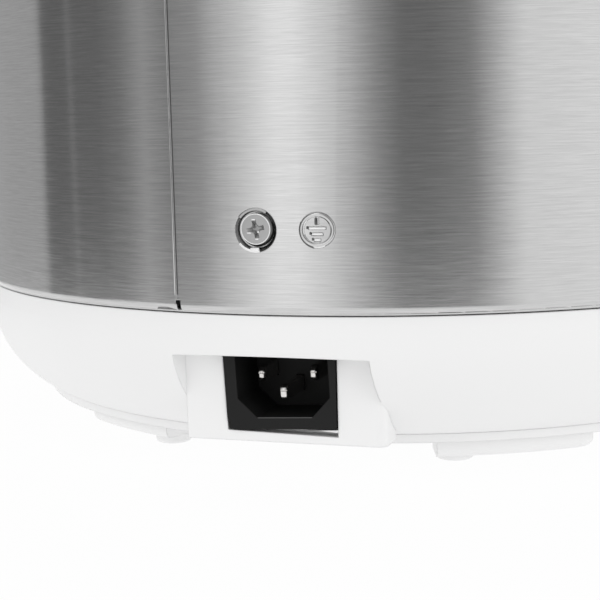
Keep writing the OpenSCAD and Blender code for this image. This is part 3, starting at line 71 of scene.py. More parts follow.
level = VIEW_ALONG.cross(Vector((0, 0, 1))).normalized()
upright = level.cross(VIEW_ALONG)
right = level * math.cos(VIEW_ROLL) + upright * math.sin(VIEW_ROLL)
upward = upright * math.cos(VIEW_ROLL) - level * math.sin(VIEW_ROLL)
camera_data = bpy.data.cameras.new("rear_view")
camera_data.lens = LENS
camera_data.sensor_width = SENSOR_W
camera_data.clip_start = NEAREST
camera = bpy.data.objects.new("rear_view", camera_data)
axes = Matrix((right, upward, -VIEW_ALONG)).transposed().to_4x4()
camera.matrix_world = Matrix.Translation(VIEW_FROM) @ axes
bpy.context.scene.collection.objects.link(camera)
bpy.context.scene.camera = camera
bpy.context.scene.view_settings.view_transform = "Standard"
print("camera at", [round(v, 3) for v in VIEW_FROM])

# %% [markdown]
# ## Shader sums
# A finish is a small program of nodes. Wiring Math nodes by hand hides the idea, so one class lets a
# socket be added and multiplied like a number.

# %% Sockets that can be added and multiplied
class Sock:
    """One output of a shader node."""

    def __init__(self, out):
        self.out = out

    def calc(self, operation, other):
        tree = self.out.id_data
        step = tree.nodes.new("ShaderNodeMath")
        step.operation = operation
        for place, term in zip(step.inputs, (self, other)):
            if isinstance(term, Sock):
                tree.links.new(term.out, place)
            else:
                place.default_value = term
        return Sock(step.outputs[0])

    def __add__(self, other):
        return self.calc("ADD", other)

    __radd__ = __add__

    def __sub__(self, other):
        return self.calc("SUBTRACT", other)

    def __mul__(self, other):
        return self.calc("MULTIPLY", other)

    def __truediv__(self, other):
        return self.calc("DIVIDE", other)


print("sockets ready")

# %% [markdown]
# ## Trees and materials
# A second class holds a node tree and adds any node to it, and a third one is a material with the few
# nodes that most finishes need: noise, a mix of two colours, bump and a softened edge.

# %% One material and its nodes
MIX_FIRST, MIX_SECOND, MIX_COLOUR = 6, 7, 2
EDGE_SAMPLES = 4


class Nodes:
    """A node tree, with one method that adds any node."""

    def __init__(self, tree):
        self.tree = tree

    def join(self, socket, value):
        if isinstance(value, Sock):
            self.tree.links.new(value.out, socket)
        else:
            socket.default_value = value

    def add(self, kind, settings=None, sockets=None, out=0):
        step = self.tree.nodes.new(kind)
        for name, value in (settings or {}).items():
            setattr(step, name, value)
        for name, value in (sockets or {}).items():
            self.join(step.inputs[name], value)
        return Sock(step.outputs[out])


class Finish(Nodes):
    """A material on Object coordinates, in metres."""

    def __init__(self, name):
        self.material = bpy.data.materials.new(name)
        self.material.use_nodes = True
        super().__init__(self.material.node_tree)
        self.shader = self.tree.nodes["Principled BSDF"]
        self.place = self.add("ShaderNodeTexCoord", out="Object")
        split = self.add("ShaderNodeSeparateXYZ", sockets={0: self.place})
        self.x, self.y, self.z = (Sock(out) for out in split.out.node.outputs)

    def point(self, x, y, z):
        return self.add("ShaderNodeCombineXYZ", sockets={0: x, 1: y, 2: z})

    def noise(self, scale, detail=2.0, at=None):
        sockets = {"Vector": at or self.place, "Scale": scale, "Detail": detail}
        return self.add("ShaderNodeTexNoise", sockets=sockets)

    def shade(self, amount, first, second):
        sockets = {0: amount, MIX_FIRST: (*first, 1), MIX_SECOND: (*second, 1)}
        return self.add("ShaderNodeMix", {"data_type": "RGBA"}, sockets, MIX_COLOUR)

    def bump(self, height, depth, under, strength):
        sockets = {"Height": height, "Distance": depth, "Normal": under, "Strength": strength}
        return self.add("ShaderNodeBump", sockets=sockets)

    def soft_edge(self, radius):
        return self.add("ShaderNodeBevel", {"samples": EDGE_SAMPLES}, {"Radius": radius})

    def set(self, **sockets):
        for name, value in sockets.items():
            self.join(self.shader.inputs[name.replace("_", " ")], value)
        return self.material

    def surface(self, shader):
        """Shows another shader in place of the plain one."""
        self.join(self.tree.nodes["Material Output"].inputs["Surface"], shader)
        return self.material


def grey(value, tint=0.0):
    return (value, value * (1 - tint / 2), value * (1 - tint))


print("material classes ready")

# %% [markdown]
# ## The band's brushed steel
# The band is stainless sheet, brushed round the pot, so each scratch runs level. Light is spread upright
# across the scratches and hardly at all along them, which draws the surroundings as upright stripes. The
# shader's own anisotropy gives that spread. Its tangent runs round the Z axis by itself, so a quarter
# turn of it is all that is needed. Noise that is long round the band and thin in height gives the single
# scratches: each kind has its marks in a metre, round and up, and its own layer of the noise.

# %% Brushed band
BAND_R = 0.136
STREAKS, HAIRS, WAVES = (60, 2400, 0.0), (180, 4600, 4.0), (26, 9, 9.0)
STREAK_PART, HAIR_PART, CONTRAST = 0.55, 0.45, 2.0
BAND_DARK, BAND_LIGHT = grey(0.53), grey(0.71)
BAND_EDGE, WAVE_DEPTH, SCRATCH_DEPTH = 0.0003, 0.0006, 0.00002
QUARTER_TURN = 0.25


def brushed_band():
    steel = Finish("brushed_band")
    arc = steel.x.calc("ARCTAN2", steel.y) * BAND_R

    def marks_of(kind, detail):
        along, up, layer = kind
        return steel.noise(1.0, detail, steel.point(arc * along, steel.z * up, layer))

    scratches = marks_of(STREAKS, 3) * STREAK_PART + marks_of(HAIRS, 2) * HAIR_PART
    mark = (scratches - 0.5) * CONTRAST + 0.5
    height = steel.bump(marks_of(WAVES, 1), WAVE_DEPTH, steel.soft_edge(BAND_EDGE), 0.5)
    fine = steel.bump(mark, SCRATCH_DEPTH, height, 0.35)
    return steel.set(Base_Color=steel.shade(mark, BAND_DARK, BAND_LIGHT), Metallic=1.0,
                     Roughness=0.15 + mark * 0.07, Anisotropic=0.95,
                     Anisotropic_Rotation=QUARTER_TURN, Normal=fine)


# %% [markdown]
# ## White and black mouldings
# The base, the lid and the ring are moulded in white plastic with a very fine spark-eroded grain. The
# inlet is black with a coarser grain. A flat colour would look like paper, so each gets a faint cloud in
# its colour, a grain in its roughness and height, and a soft edge, since no moulding has a knife edge.

# %% Moulded plastics
PLASTIC_CLOUD = 14.0


def moulded(name, dark, light, rough, grain, depth, edge, gloss=0.5):
    part = Finish(name)
    cloud = part.noise(PLASTIC_CLOUD, 3)
    speck = part.noise(grain, 2)
    tone = part.shade(cloud * 0.7 + speck * 0.3, dark, light)
    relief = part.bump(speck, depth, part.soft_edge(edge), 0.6)
    return part.set(Base_Color=tone, Roughness=rough - 0.06 + speck * 0.12, Normal=relief,
                    Specular_IOR_Level=gloss)


# %% [markdown]
# ## Bare metals
# Screws, pins, the heater and the springs are plain metals. Each has its own working marks: plating is a
# little cloudy, castings are grainy, and sheet is rolled. The head of the earth screw is duller than
# other plating. A paler zinc is a painted highlight, laid on the screw's rim and cross, the tab and the
# earth sign.

# %% Metals
METAL_CLOUD, METAL_EDGE = 220.0, 0.00018
ZINC_EDGE, ZINC_DEPTH = 0.0001, 0.00002
DULL_CLOUD, BRIGHT_CLOUD = 900.0, 1200.0


def bare_metal(name, dark, light, rough, grain, depth):
    metal = Finish(name)
    cloud = metal.noise(METAL_CLOUD, 4)
    speck = metal.noise(grain, 3)
    tone = metal.shade(cloud, dark, light)
    relief = metal.bump(speck, depth, metal.soft_edge(METAL_EDGE), 0.5)
    return metal.set(Base_Color=tone, Metallic=1.0, Roughness=rough - 0.05 + cloud * 0.1, Normal=relief)


def dull_zinc():
    zinc = Finish("dull_zinc")
    cloud = zinc.noise(DULL_CLOUD, 3)
    tone = zinc.shade(cloud, grey(0.42), grey(0.50))
    relief = zinc.bump(cloud, ZINC_DEPTH, zinc.soft_edge(ZINC_EDGE), 0.5)
    return zinc.set(Base_Color=tone, Metallic=0.75, Roughness=0.40 + cloud * 0.15, Normal=relief)


# A pale zinc that is a painted highlight, for rims, glints, the tab and the sign's flashes.
def bright_zinc():
    zinc = Finish("bright_zinc")
    cloud = zinc.noise(BRIGHT_CLOUD, 2)
    tone = zinc.shade(cloud, grey(0.80), grey(0.92))
    return zinc.set(Base_Color=tone, Metallic=0.3, Roughness=0.25 + cloud * 0.1)


# %% [markdown]
# ## Finishes by slot
# The record names one material slot for each solid, so the finishes are made once for each slot and given
# out. A row holds the darkest and the palest colour, the roughness, the grains in a metre and the depth
# of the grain in metres. A plastic also has the softness of its edge and, where it is not plain, its
# gloss. The last rows of each table are for small pieces only.

# %% Make each finish and give it out
PLASTICS = {
    "white_plastic": (grey(0.84), grey(0.88), 0.42, 2600.0, 0.00002, 0.0005),
    "white_rubber": (grey(0.86), grey(0.90), 0.62, 1800.0, 0.00003, 0.0005),
    "black_plastic": (grey(0.006), grey(0.012), 0.6, 2200.0, 0.00004, 0.00025, 0.25),
    "grey_plastic": (grey(0.30), grey(0.36), 0.45, 2400.0, 0.00003, 0.0005),
    "button_plastic": (grey(0.62), grey(0.70), 0.5, 2600.0, 0.00003, 0.0004),
    "panel_plastic": (grey(0.012), grey(0.020), 0.18, 3000.0, 0.000004, 0.0006),
    "window_plastic": (grey(0.006), grey(0.010), 0.1, 3000.0, 0.000003, 0.0003),
    "part_plastic": ((0.04, 0.05, 0.07), (0.07, 0.08, 0.11), 0.5, 1500.0, 0.00004, 0.0003),
    "lead_sleeve": ((0.16, 0.07, 0.03), (0.26, 0.12, 0.06), 0.7, 2500.0, 0.0001, 0.0002),
    "silicone": (grey(0.62), grey(0.72), 0.55, 1200.0, 0.00002, 0.0005),
    "circuit_board": ((0.01, 0.10, 0.03), (0.02, 0.17, 0.06), 0.35, 700.0, 0.00003, 0.0002),
    "pot_coating": (grey(0.020), grey(0.050), 0.4, 2400.0, 0.00003, 0.0005),
    # The next two rows are painted shade by the seam and a painted highlight on the socket's sill.
    "seam_shade": (grey(0.03), grey(0.10), 0.6, 700.0, 0.00002, 0.0001, 0.2),
    "sill_highlight": (grey(0.03), grey(0.10), 0.5, 900.0, 0.00002, 0.0001),
}
METALS = {
    "zinc_screw": (grey(0.50), grey(0.66), 0.3, 3000.0, 0.00002),
    "nickel_pin": (grey(0.70, 0.04), grey(0.82, 0.04), 0.22, 3500.0, 0.00001),
    "brass_tab": ((0.60, 0.40, 0.13), (0.74, 0.54, 0.22), 0.3, 3000.0, 0.00001),
    "cast_aluminium": (grey(0.52), grey(0.68), 0.42, 1500.0, 0.00005),
    "spring_steel": (grey(0.42), grey(0.58), 0.32, 2600.0, 0.00001),
    # The polished row also paints the dimple's low flash; the slope row is a painted highlight and the
    # shaded row painted shade on the earth sign.
    "polished_steel": (grey(0.80), grey(0.92), 0.14, 3000.0, 0.000004),
    "stamped_steel": (grey(0.56), grey(0.70), 0.2, 3000.0, 0.000006),
    "slope_flash_steel": (grey(0.42), grey(0.54), 0.3, 3000.0, 0.000006),
    "shaded_steel": (grey(0.10), grey(0.20), 0.35, 3000.0, 0.000006),
}
finishes = {"brushed_band": brushed_band(), "dull_zinc": dull_zinc(), "bright_zinc": bright_zinc()}
finishes.update({name: moulded(name, *look) for name, look in PLASTICS.items()})
finishes.update({name: bare_metal(name, *look) for name, look in METALS.items()})
for row in frame["record"]["subparts"]:
    solid = nodes[row["node"]]
    solid.data.materials.clear()
    solid.data.materials.append(finishes[row["material_slot"]])
print("finishes:", len(finishes))

# %% [markdown]
# ## Shaping tools
# Every small piece below starts as a primitive and is shaped as by hand: faces are picked by their place
# or normal, edges are rounded, one shape cuts another, and parts are joined. These steps repeat, so they
# are written once, in millimetres. A face counts as looking along an axis when its normal is within about
# 26 degrees of it. Each piece ends with its place in its mesh, because that is how the CAD solids are kept.

# %% Tools that pick and round
MM = 0.001
SQUARELY = 0.9


def alone(shape):
    bpy.ops.object.select_all(action="DESELECT")
    shape.select_set(True)
    bpy.context.view_layer.objects.active = shape


def added():
    bpy.ops.object.transform_apply(location=True, rotation=True, scale=True)
    return bpy.context.object


def faces_all(middle, normal):
    return True


def faces_up(middle, normal):
    return normal.z > SQUARELY


def faces_down(middle, normal):
    return normal.z < -SQUARELY


def faces_flat(middle, normal):
    return abs(normal.z) > SQUARELY


def pick(shape, test):
    """Opens a shape in edit mode with the faces selected that pass a test of their middle and normal."""
    alone(shape)
    bpy.ops.object.mode_set(mode="EDIT")
    bpy.ops.mesh.select_mode(type="FACE")
    bpy.ops.mesh.select_all(action="DESELECT")
    bpy.ops.object.mode_set(mode="OBJECT")
    for face in shape.data.polygons:
        face.select = test(face.center, face.normal)
    bpy.ops.object.mode_set(mode="EDIT")


def done(shape):
    """Closes edit mode."""
    bpy.ops.object.mode_set(mode="OBJECT")
    return shape


def round_off(shape, edge, steps=3, test=None):
    """Rounds all edges, or those round the faces that pass a test."""
    pick(shape, test or faces_all)
    if test:
        bpy.ops.mesh.region_to_loop()
    bpy.ops.mesh.bevel(offset=edge * MM, segments=steps, affect="EDGES")
    return done(shape)


def narrow(shape, test, scale):
    """Makes the faces smaller that pass a test."""
    pick(shape, test)
    bpy.ops.transform.resize(value=scale)
    return done(shape)


print("picking tools ready")

# %% Tools that make shapes
BEAD_SIDES = 16


def block(size, at=(0, 0, 0), edge=0.0, steps=3):
    bpy.ops.object.select_all(action="DESELECT")
    bpy.ops.mesh.primitive_cube_add(size=MM, location=Vector(at) * MM, scale=size)
    shape = added()
    return round_off(shape, edge, steps) if edge else shape


def disc(radius, depth, at=(0, 0, 0), edge=0.0, sides=64, steps=3):
    bpy.ops.object.select_all(action="DESELECT")
    bpy.ops.mesh.primitive_cylinder_add(vertices=sides, radius=radius * MM, depth=depth * MM,
                                        location=Vector(at) * MM)
    shape = added()
    return round_off(shape, edge, steps, faces_flat) if edge else shape


def bead_ring(radius, width, height, at=(0, 0, 0), sides=96):
    bpy.ops.object.select_all(action="DESELECT")
    bpy.ops.mesh.primitive_torus_add(major_radius=radius * MM, minor_radius=width / 2 * MM,
                                     major_segments=sides, minor_segments=BEAD_SIDES,
                                     location=Vector(at) * MM)
    bpy.context.object.scale.z = 2 * height / width
    return added()


def bead_arc(radius, width, height, start, sweep):
    """Part of a bead ring, from a start angle over a sweep, closed at both ends."""
    def outside(middle, normal):
        return (math.degrees(math.atan2(middle.y, middle.x)) - start) % 360 > sweep

    arc = bead_ring(radius, width, height)
    pick(arc, outside)
    bpy.ops.mesh.delete(type="FACE")
    bpy.ops.mesh.select_all(action="SELECT")
    bpy.ops.mesh.fill_holes(sides=0)
    return done(arc)


print("shape tools ready")

# %% Tools that place, join, cut and keep
SMOOTH_BELOW = math.radians(40)


def settle(shape, turn=(0, 0, 0), at=(0, 0, 0)):
    alone(shape)
    shape.rotation_euler = [math.radians(angle) for angle in turn]
    shape.location = Vector(at) * MM
    return added()


def joined(shapes):
    alone(shapes[0])
    for shape in shapes[1:]:
        shape.select_set(True)
    if len(shapes) > 1:
        bpy.ops.object.join()
    return bpy.context.object


def carve(shape, cutter):
    alone(shape)
    cut = shape.modifiers.new("cut", "BOOLEAN")
    cut.object = cutter
    cut.operation = "DIFFERENCE"
    bpy.ops.object.modifier_apply(modifier="cut")
    bpy.data.objects.remove(cutter)


def keep(shape, name, body, slot, finish=None):
    """Names a finished piece, gives it its finish and lets it ride on its body."""
    alone(shape)
    shape.name = name
    shape.data.name = name
    bpy.ops.object.shade_smooth_by_angle(angle=SMOOTH_BELOW)
    shape.data.materials.clear()
    shape.data.materials.append(finishes[finish or slot])
    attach(shape, body)
    print(name, len(shape.data.polygons), "faces")
    return shape


print("placing tools ready")

# %% [markdown]
# ## The earth screw
# A pan-head screw holds the earth tab in a pressed dimple. Its head is flat and dull with a rounded rim,
# on which a thin bead of pale zinc is a painted highlight, and the cross in it narrows inwards. A plain
# cylinder is rounded at its front edge, its back face is inset and drawn out to the shank, and two tapered
# bars and a small well cut the cross. Small flat bars of pale zinc at the ends of the cross are painted
# glints.

# %% Screw
FACING_REAR = (-90, 0, 0)
SCREW_AT = (2.15, 134.6, 63.7)
HEAD_R, HEAD_H, HEAD_ROUND = 3.82, 2.2, 0.25
SHANK_R, SHANK_L = 1.95, 8.0
CROSS_L, CROSS_W, CROSS_DEPTH, CROSS_TURN = 4.6, 1.1, 1.5, 11
WELL_R, WELL_DEPTH = 1.25, 1.4
CROSS_PAST, WELL_PAST = 0.05, 0.1
CROSS_FOOT, WELL_FOOT = (0.5, 0.6, 1), (0.4, 0.4, 1)
RIM_W, RIM_DOWN = 0.28, 0.10
CROSS_GLINTS = ((0.9, 0.32, 0.5, -2.3), (0.8, 0.3, -0.3, 2.45), (1.1, 0.28, 1.7, 0.95), (0.4, 0.4, -0.7, 0.7))
GLINT_T, GLINT_ROUND = 0.1, 0.04


def cross_cutter(turn):
    arm = block((CROSS_L, CROSS_W, CROSS_DEPTH), (0, 0, HEAD_H + CROSS_PAST - CROSS_DEPTH / 2))
    return settle(narrow(arm, faces_down, CROSS_FOOT), (0, 0, turn))


def earth_screw():
    head = disc(HEAD_R, HEAD_H, (0, 0, HEAD_H / 2))
    round_off(head, HEAD_ROUND, 4, faces_up)
    pick(head, faces_down)
    bpy.ops.mesh.inset(thickness=(HEAD_R - SHANK_R) * MM)
    bpy.ops.mesh.extrude_region_move(TRANSFORM_OT_translate={"value": (0, 0, -SHANK_L * MM)})
    done(head)
    for turn in (CROSS_TURN, CROSS_TURN + 90):
        carve(head, cross_cutter(turn))
    well = disc(WELL_R, WELL_DEPTH, (0, 0, HEAD_H + WELL_PAST - WELL_DEPTH / 2), sides=24)
    carve(head, narrow(well, faces_down, WELL_FOOT))
    return settle(head, FACING_REAR, SCREW_AT)


screw = keep(earth_screw(), "earth_screw_head", "cooker_body", "zinc_screw", "dull_zinc")
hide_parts("earth_screw")
# A bead of pale zinc round the head is a painted highlight; pale bars at the cross's ends are painted
# glints.
rim_highlight = bead_ring(HEAD_R - RIM_W / 2, RIM_W, RIM_W / 2, (0, 0, HEAD_H - RIM_DOWN))
keep(settle(rim_highlight, FACING_REAR, SCREW_AT), "screw_rim_highlight", "cooker_body", "zinc_screw", "bright_zinc")
glints = joined([block((w, h, GLINT_T), (x, y, HEAD_H), GLINT_ROUND, 2) for w, h, x, y in CROSS_GLINTS])
keep(settle(glints, FACING_REAR, SCREW_AT), "cross_glints", "cooker_body", "zinc_screw", "bright_zinc")

# %% [markdown]
# ## Inside the dimple
# A dark ring under the head is painted shade: it makes the black line round the head. The end of the
# earth tab shows below it, in a pale zinc that is a painted highlight. Two short arcs of a flattened ring
# are painted highlights on the drawn rim of the dimple: a polished one low down and a duller one at the
# top.

# %% Shade ring, tab, and the dimple's painted flashes
DISH = (2.5, 134.6, 63.4)
HEAD_SHADE_R, HEAD_SHADE_W, HEAD_SHADE_H, HEAD_SHADE_AT = 3.55, 1.3, 0.22, (-0.2, 0, 0.25)
TAB_SIZE, TAB_AT, TAB_ROUND = (2.3, 1.1, 0.5), (0.3, 4.85, 1.25), 0.22
LIP_FLASH_ARC, LIP_OUT = (5.25, 0.7, 0.16, 38, 62), 1.35
SLOPE_FLASH_ARC, SLOPE_OUT = (5.05, 0.95, 0.25, 238, 84), 1.15


def in_dish(shape, out=0.0):
    return settle(shape, FACING_REAR, (DISH[0], DISH[1] + out, DISH[2]))


# A dark ring of painted shade under the head.
head_shade = in_dish(bead_ring(HEAD_SHADE_R, HEAD_SHADE_W, HEAD_SHADE_H, HEAD_SHADE_AT))
keep(head_shade, "head_shade_ring", "cooker_body", "black_plastic")
# The tab's pale zinc is a painted highlight.
tab = in_dish(block(TAB_SIZE, TAB_AT, TAB_ROUND))
keep(tab, "dimple_tab", "cooker_body", "zinc_screw", "bright_zinc")
# Painted highlights: a polished arc low on the dimple's rim and a duller arc at its top.
lip = in_dish(bead_arc(*LIP_FLASH_ARC), LIP_OUT)
keep(lip, "dimple_lip_flash", "cooker_body", "brushed_band", "polished_steel")
slope = in_dish(bead_arc(*SLOPE_FLASH_ARC), SLOPE_OUT)
keep(slope, "dimple_slope_flash", "cooker_body", "brushed_band", "slope_flash_steel")

# %% [markdown]
# ## The stamped earth sign
# Beside the screw the sheet is stamped with the usual earth sign in a ring. The stamp leaves a rounded
# bead that flashes bright and dark. It could be a bump in the material, but a real bead also holds from
# the side, so a flattened torus and three rounded bars are laid on the sheet, turned to face straight out
# of its curve. The bars and short arcs in pale zinc are painted highlights, the bead's flashes; the upright
# stroke, small dark spots at the bars' ends and other arcs are painted shade.

# %% Earth sign
SIGN_X, SIGN_Z = -13.2, 63.4
SIGN_TURN = math.degrees(math.asin(-SIGN_X / (BAND_R / MM)))
SIGN_AT = (SIGN_X, BAND_R / MM * math.cos(math.radians(SIGN_TURN)), SIGN_Z)
HOOP_R, HOOP_W, HOOP_H, HOOP_FLAT = 3.9, 1.05, 0.26, 0.95
SIGN_BARS = ((4.2, -0.4), (2.7, 1.0), (1.6, 2.4))
SIGN_BAR_W, SIGN_BAR_T, SIGN_BAR_ROUND = 0.55, 0.5, 0.22
STROKE_SIZE, STROKE_AT = (0.6, 1.6, 0.4), (0.35, -2.1, 0)
SHADE_SPOT_SIZE, SHADE_SPOT_ASIDE, SHADE_SPOT_DOWN, SHADE_SPOT_ROUND = (0.5, 0.7, 0.4), 0.35, 0.2, 0.15
SHADE_ARCS = ((4.3, 0.55, 0.2, 335, 105), (3.4, 0.45, 0.2, 205, 55))
FLASH_ARCS = ((4.2, 0.35, 0.2, 74, 44), (3.95, 0.3, 0.24, 264, 26), (3.4, 0.25, 0.2, 320, 60))


def on_sign(shape):
    return settle(shape, (-90, 0, SIGN_TURN), SIGN_AT)


hoop = bead_ring(HOOP_R, HOOP_W, HOOP_H)
hoop.scale.y = HOOP_FLAT
keep(on_sign(hoop), "sign_ring", "cooker_body", "brushed_band", "stamped_steel")
# Bars and flash arcs in pale zinc are painted highlights; the stroke, the spots at the bars' ends and the
# shade arcs are painted shade.
bright, dark = [], [block(STROKE_SIZE, STROKE_AT, SHADE_SPOT_ROUND)]
for length, row in SIGN_BARS:
    bright.append(block((length, SIGN_BAR_W, SIGN_BAR_T), (0, row, 0), SIGN_BAR_ROUND))
    dark.append(block(SHADE_SPOT_SIZE, (length / 2 + SHADE_SPOT_ASIDE, row - SHADE_SPOT_DOWN, 0), SHADE_SPOT_ROUND))
bright += [bead_arc(*arc) for arc in FLASH_ARCS]
dark += [bead_arc(*arc) for arc in SHADE_ARCS]
keep(on_sign(joined(bright)), "earth_sign", "cooker_body", "brushed_band", "bright_zinc")
keep(on_sign(joined(dark)), "sign_shade", "cooker_body", "brushed_band", "shaded_steel")

# %% [markdown]
# ## The lap seam
# The band is one sheet bent round and lapped. The outer edge of the lap is a cut edge that catches the
# light, and beside it lies the lap's shade. Two long rounded strips along the step show both: a raised
# edge, and a thin dark strip that is painted shade.

# %% Lap seam
SEAM_A = 10.6
SEAM_LOW, SEAM_HIGH = 46.8, 166.0
SEAM_ROUND = 0.4


def seam_strip(name, across, out, width, height, finish):
    reach = BAND_R / MM + out
    lean = math.radians(SEAM_A)
    strip = block((width, height, SEAM_HIGH - SEAM_LOW), (across, 0, 0), min(width, height) * SEAM_ROUND, 2)
    place = (reach * math.sin(lean), reach * math.cos(lean), (SEAM_LOW + SEAM_HIGH) / 2)
    keep(settle(strip, (0, 0, -SEAM_A), place), name, "cooker_body", "brushed_band", finish)


seam_strip("seam_edge", across=0.10, out=0.36, width=0.30, height=0.22, finish="stamped_steel")
# A thin dark strip of painted shade beside the lap's edge.
seam_strip("seam_shade_strip", across=-0.42, out=0.01, width=0.28, height=0.06, finish="seam_shade")

# %% [markdown]
# ## The inlet's pins
# The three pins are flat blades with tapered tips, which show as small bright spots in the black socket.
# Each is a bar whose front face is drawn out and made smaller. Its edges are rounded, a fine slot is cut
# in its tip, and the blade is turned by the inlet's own skew.

# %% Pins
PIN_W, PIN_H, PIN_BACK, PIN_TAPER, PIN_ROUND = 2.0, 4.0, 99.0, 1.4, 0.42
SLOT_PAST, SLOT_DEPTH, SLOT_H, SLOT_UP = 1.0, 1.0, 0.28, 0.2
INLET_SKEW = 2.77
LIVE_AT, LIVE_FRONT, LIVE_TIP = ((-7.0, 25.6), (7.1, 24.9)), 122.5, (0.75, 0.46)
EARTH_AT, EARTH_FRONT, EARTH_TIP = (-0.055, 21.105), 125.9, (0.85, 0.6)


def pin(x, z, front, tip):
    shoulder = front - PIN_TAPER
    blade = block((PIN_W, shoulder - PIN_BACK, PIN_H), (0, (shoulder + PIN_BACK) / 2, 0))
    pick(blade, lambda middle, normal: normal.y > SQUARELY)
    bpy.ops.mesh.extrude_region_move(TRANSFORM_OT_translate={"value": (0, PIN_TAPER * MM, 0)})
    bpy.ops.transform.resize(value=(tip[0], 1, tip[1]))
    round_off(done(blade), PIN_ROUND)
    carve(blade, block((PIN_W + SLOT_PAST, SLOT_DEPTH, SLOT_H), (0, front, PIN_H * tip[1] * SLOT_UP)))
    return settle(blade, (0, INLET_SKEW, 0), (x, 0, z))


live = joined([pin(x, z, LIVE_FRONT, LIVE_TIP) for x, z in LIVE_AT])
keep(live, "live_pins", "cooker_body", "nickel_pin")
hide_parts("inlet_pins")
earth = keep(pin(*EARTH_AT, EARTH_FRONT, EARTH_TIP), "earth_pin", "cooker_body", "nickel_pin")
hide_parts("inlet_earth_pin")

# %% [markdown]
# ## The inlet's edges
# A pale bar along the lower edge of the socket is a painted highlight. Under it, a dark block in the
# frame's corner on one side is painted shade, and on the other side a thin white wedge is a painted
# reflection of the white panel's edge.

# %% Sill highlight, corner shade and wedge reflection
SILL_SIZE, SILL_AT, SILL_ROUND = (14.6, 0.2, 0.26), (-0.85, 127.5, 15.0), 0.08
CORNER_SHADE_SIZE, CORNER_SHADE_AT, CORNER_SHADE_ROUND = (1.5, 0.6, 2.0), (13.75, 127.0, 12.4), 0.25
WEDGE_SIZE, WEDGE_AT, WEDGE_ROUND = (4.8, 0.3, 0.7), (-12.4, 127.1, 12.0), 0.05
WEDGE_TIP = (1, 1, 0.2)

# A pale bar that is a painted highlight on the socket's lower edge.
sill = settle(block(SILL_SIZE, edge=SILL_ROUND), (0, INLET_SKEW, 0), SILL_AT)
keep(sill, "socket_sill", "cooker_body", "black_plastic", "sill_highlight")
# A dark block that is painted shade in the frame's corner.
corner = settle(block(CORNER_SHADE_SIZE, edge=CORNER_SHADE_ROUND), (0, INLET_SKEW, 0), CORNER_SHADE_AT)
keep(corner, "socket_corner_shade", "cooker_body", "black_plastic")
# A white wedge that is a painted reflection of the panel's edge.
wedge = narrow(block(WEDGE_SIZE), lambda middle, normal: normal.x > SQUARELY, WEDGE_TIP)
wedge = settle(round_off(wedge, WEDGE_ROUND, 2), at=WEDGE_AT)
keep(wedge, "socket_glint", "cooker_body", "white_plastic")

# %% [markdown]
# ## Trim and grips
# A thin bright ring covers the joint between the band and the white ring, and a smooth lip ends the
# band's lower edge. The handles, the cup and the lock have raised ribs where fingers hold them. A rib is
# one rounded bar, copied along a row.

# %% Trim and grips
TRIM_R, TRIM_W, TRIM_H, TRIM_Z = 136.5, 1.5, 0.75, 170.6
HEM_R, HEM_W, HEM_H, HEM_Z = 134.6, 1.4, 0.5, 42.8
RIB_ROUND = 0.45
HANDLE_RIB, HANDLE_X, HANDLE_ROW, HANDLE_Z = (7, 1.8, 1.0), 160.6, range(-24, 25, 8), 183.75
CUP_RIB, CUP_Y, CUP_ROW = (26, 1.0, 1.4), 156.5, (160, 163, 166)
LOCK_RIB, LOCK_ROW, LOCK_Y, LOCK_Z = (1.2, 1.0, 5), (-6, -3, 0, 3, 6), -142.6, 196.6


def ribs(size, places):
    return joined([block(size, at, RIB_ROUND) for at in places])


trim = bead_ring(TRIM_R, TRIM_W, TRIM_H, (0, 0, TRIM_Z), sides=256)
keep(trim, "ring_trim", "cooker_body", "brushed_band", "polished_steel")
hem = bead_ring(HEM_R, HEM_W, HEM_H, (0, 0, HEM_Z), sides=512)
keep(hem, "band_lip", "cooker_body", "brushed_band", "stamped_steel")
for name, side in (("left", 1), ("right", -1)):
    grip = ribs(HANDLE_RIB, [(side * HANDLE_X, y, HANDLE_Z) for y in HANDLE_ROW])
    keep(grip, "grip_ribs_" + name, "cooker_body", "white_plastic")
keep(ribs(CUP_RIB, [(0, CUP_Y, z) for z in CUP_ROW]), "cup_ribs", "cup", "white_plastic")
keep(ribs(LOCK_RIB, [(x, LOCK_Y, LOCK_Z) for x in LOCK_ROW]), "lock_ribs", "lock", "grey_plastic")

# %% [markdown]
# ## The sensor's spring
# The spring under the sensor is wound from one wire. A small circle is turned and raised by a screw
# modifier and its two ends are closed. The CAD's spring stays as it is when the sensor goes down; it is
# hidden, and this coil takes its place.

# %% Spring
COIL_R, COIL_WIRE, COIL_TURNS = 8.0, 1.2, 6
COIL_LOW, COIL_HIGH, COIL_PRESS = 36.38, 56.22, 3.1
WIRE_SIDES, TURN_STEPS = 12, 32


def coil():
    bpy.ops.object.select_all(action="DESELECT")
    bpy.ops.mesh.primitive_circle_add(vertices=WIRE_SIDES, radius=COIL_WIRE / 2 * MM,
                                      rotation=(math.pi / 2, 0, 0),
                                      location=(COIL_R * MM, 0, (COIL_LOW + COIL_WIRE / 2) * MM))
    wire = added()
    wind = wire.modifiers.new("wind", "SCREW")
    wind.angle = math.tau * COIL_TURNS
    wind.screw_offset = (COIL_HIGH - COIL_LOW - COIL_WIRE) * MM
    wind.steps = wind.render_steps = TURN_STEPS * COIL_TURNS
    bpy.ops.object.modifier_apply(modifier="wind")
    pick(wire, faces_all)
    bpy.ops.mesh.fill_holes(sides=0)
    bpy.ops.mesh.select_all(action="SELECT")
    bpy.ops.mesh.normals_make_consistent(inside=False)
    return done(wire)


spring = keep(coil(), "sensor_coil", "cooker_body", "spring_steel")
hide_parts("sensor_spring")
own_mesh(spring)

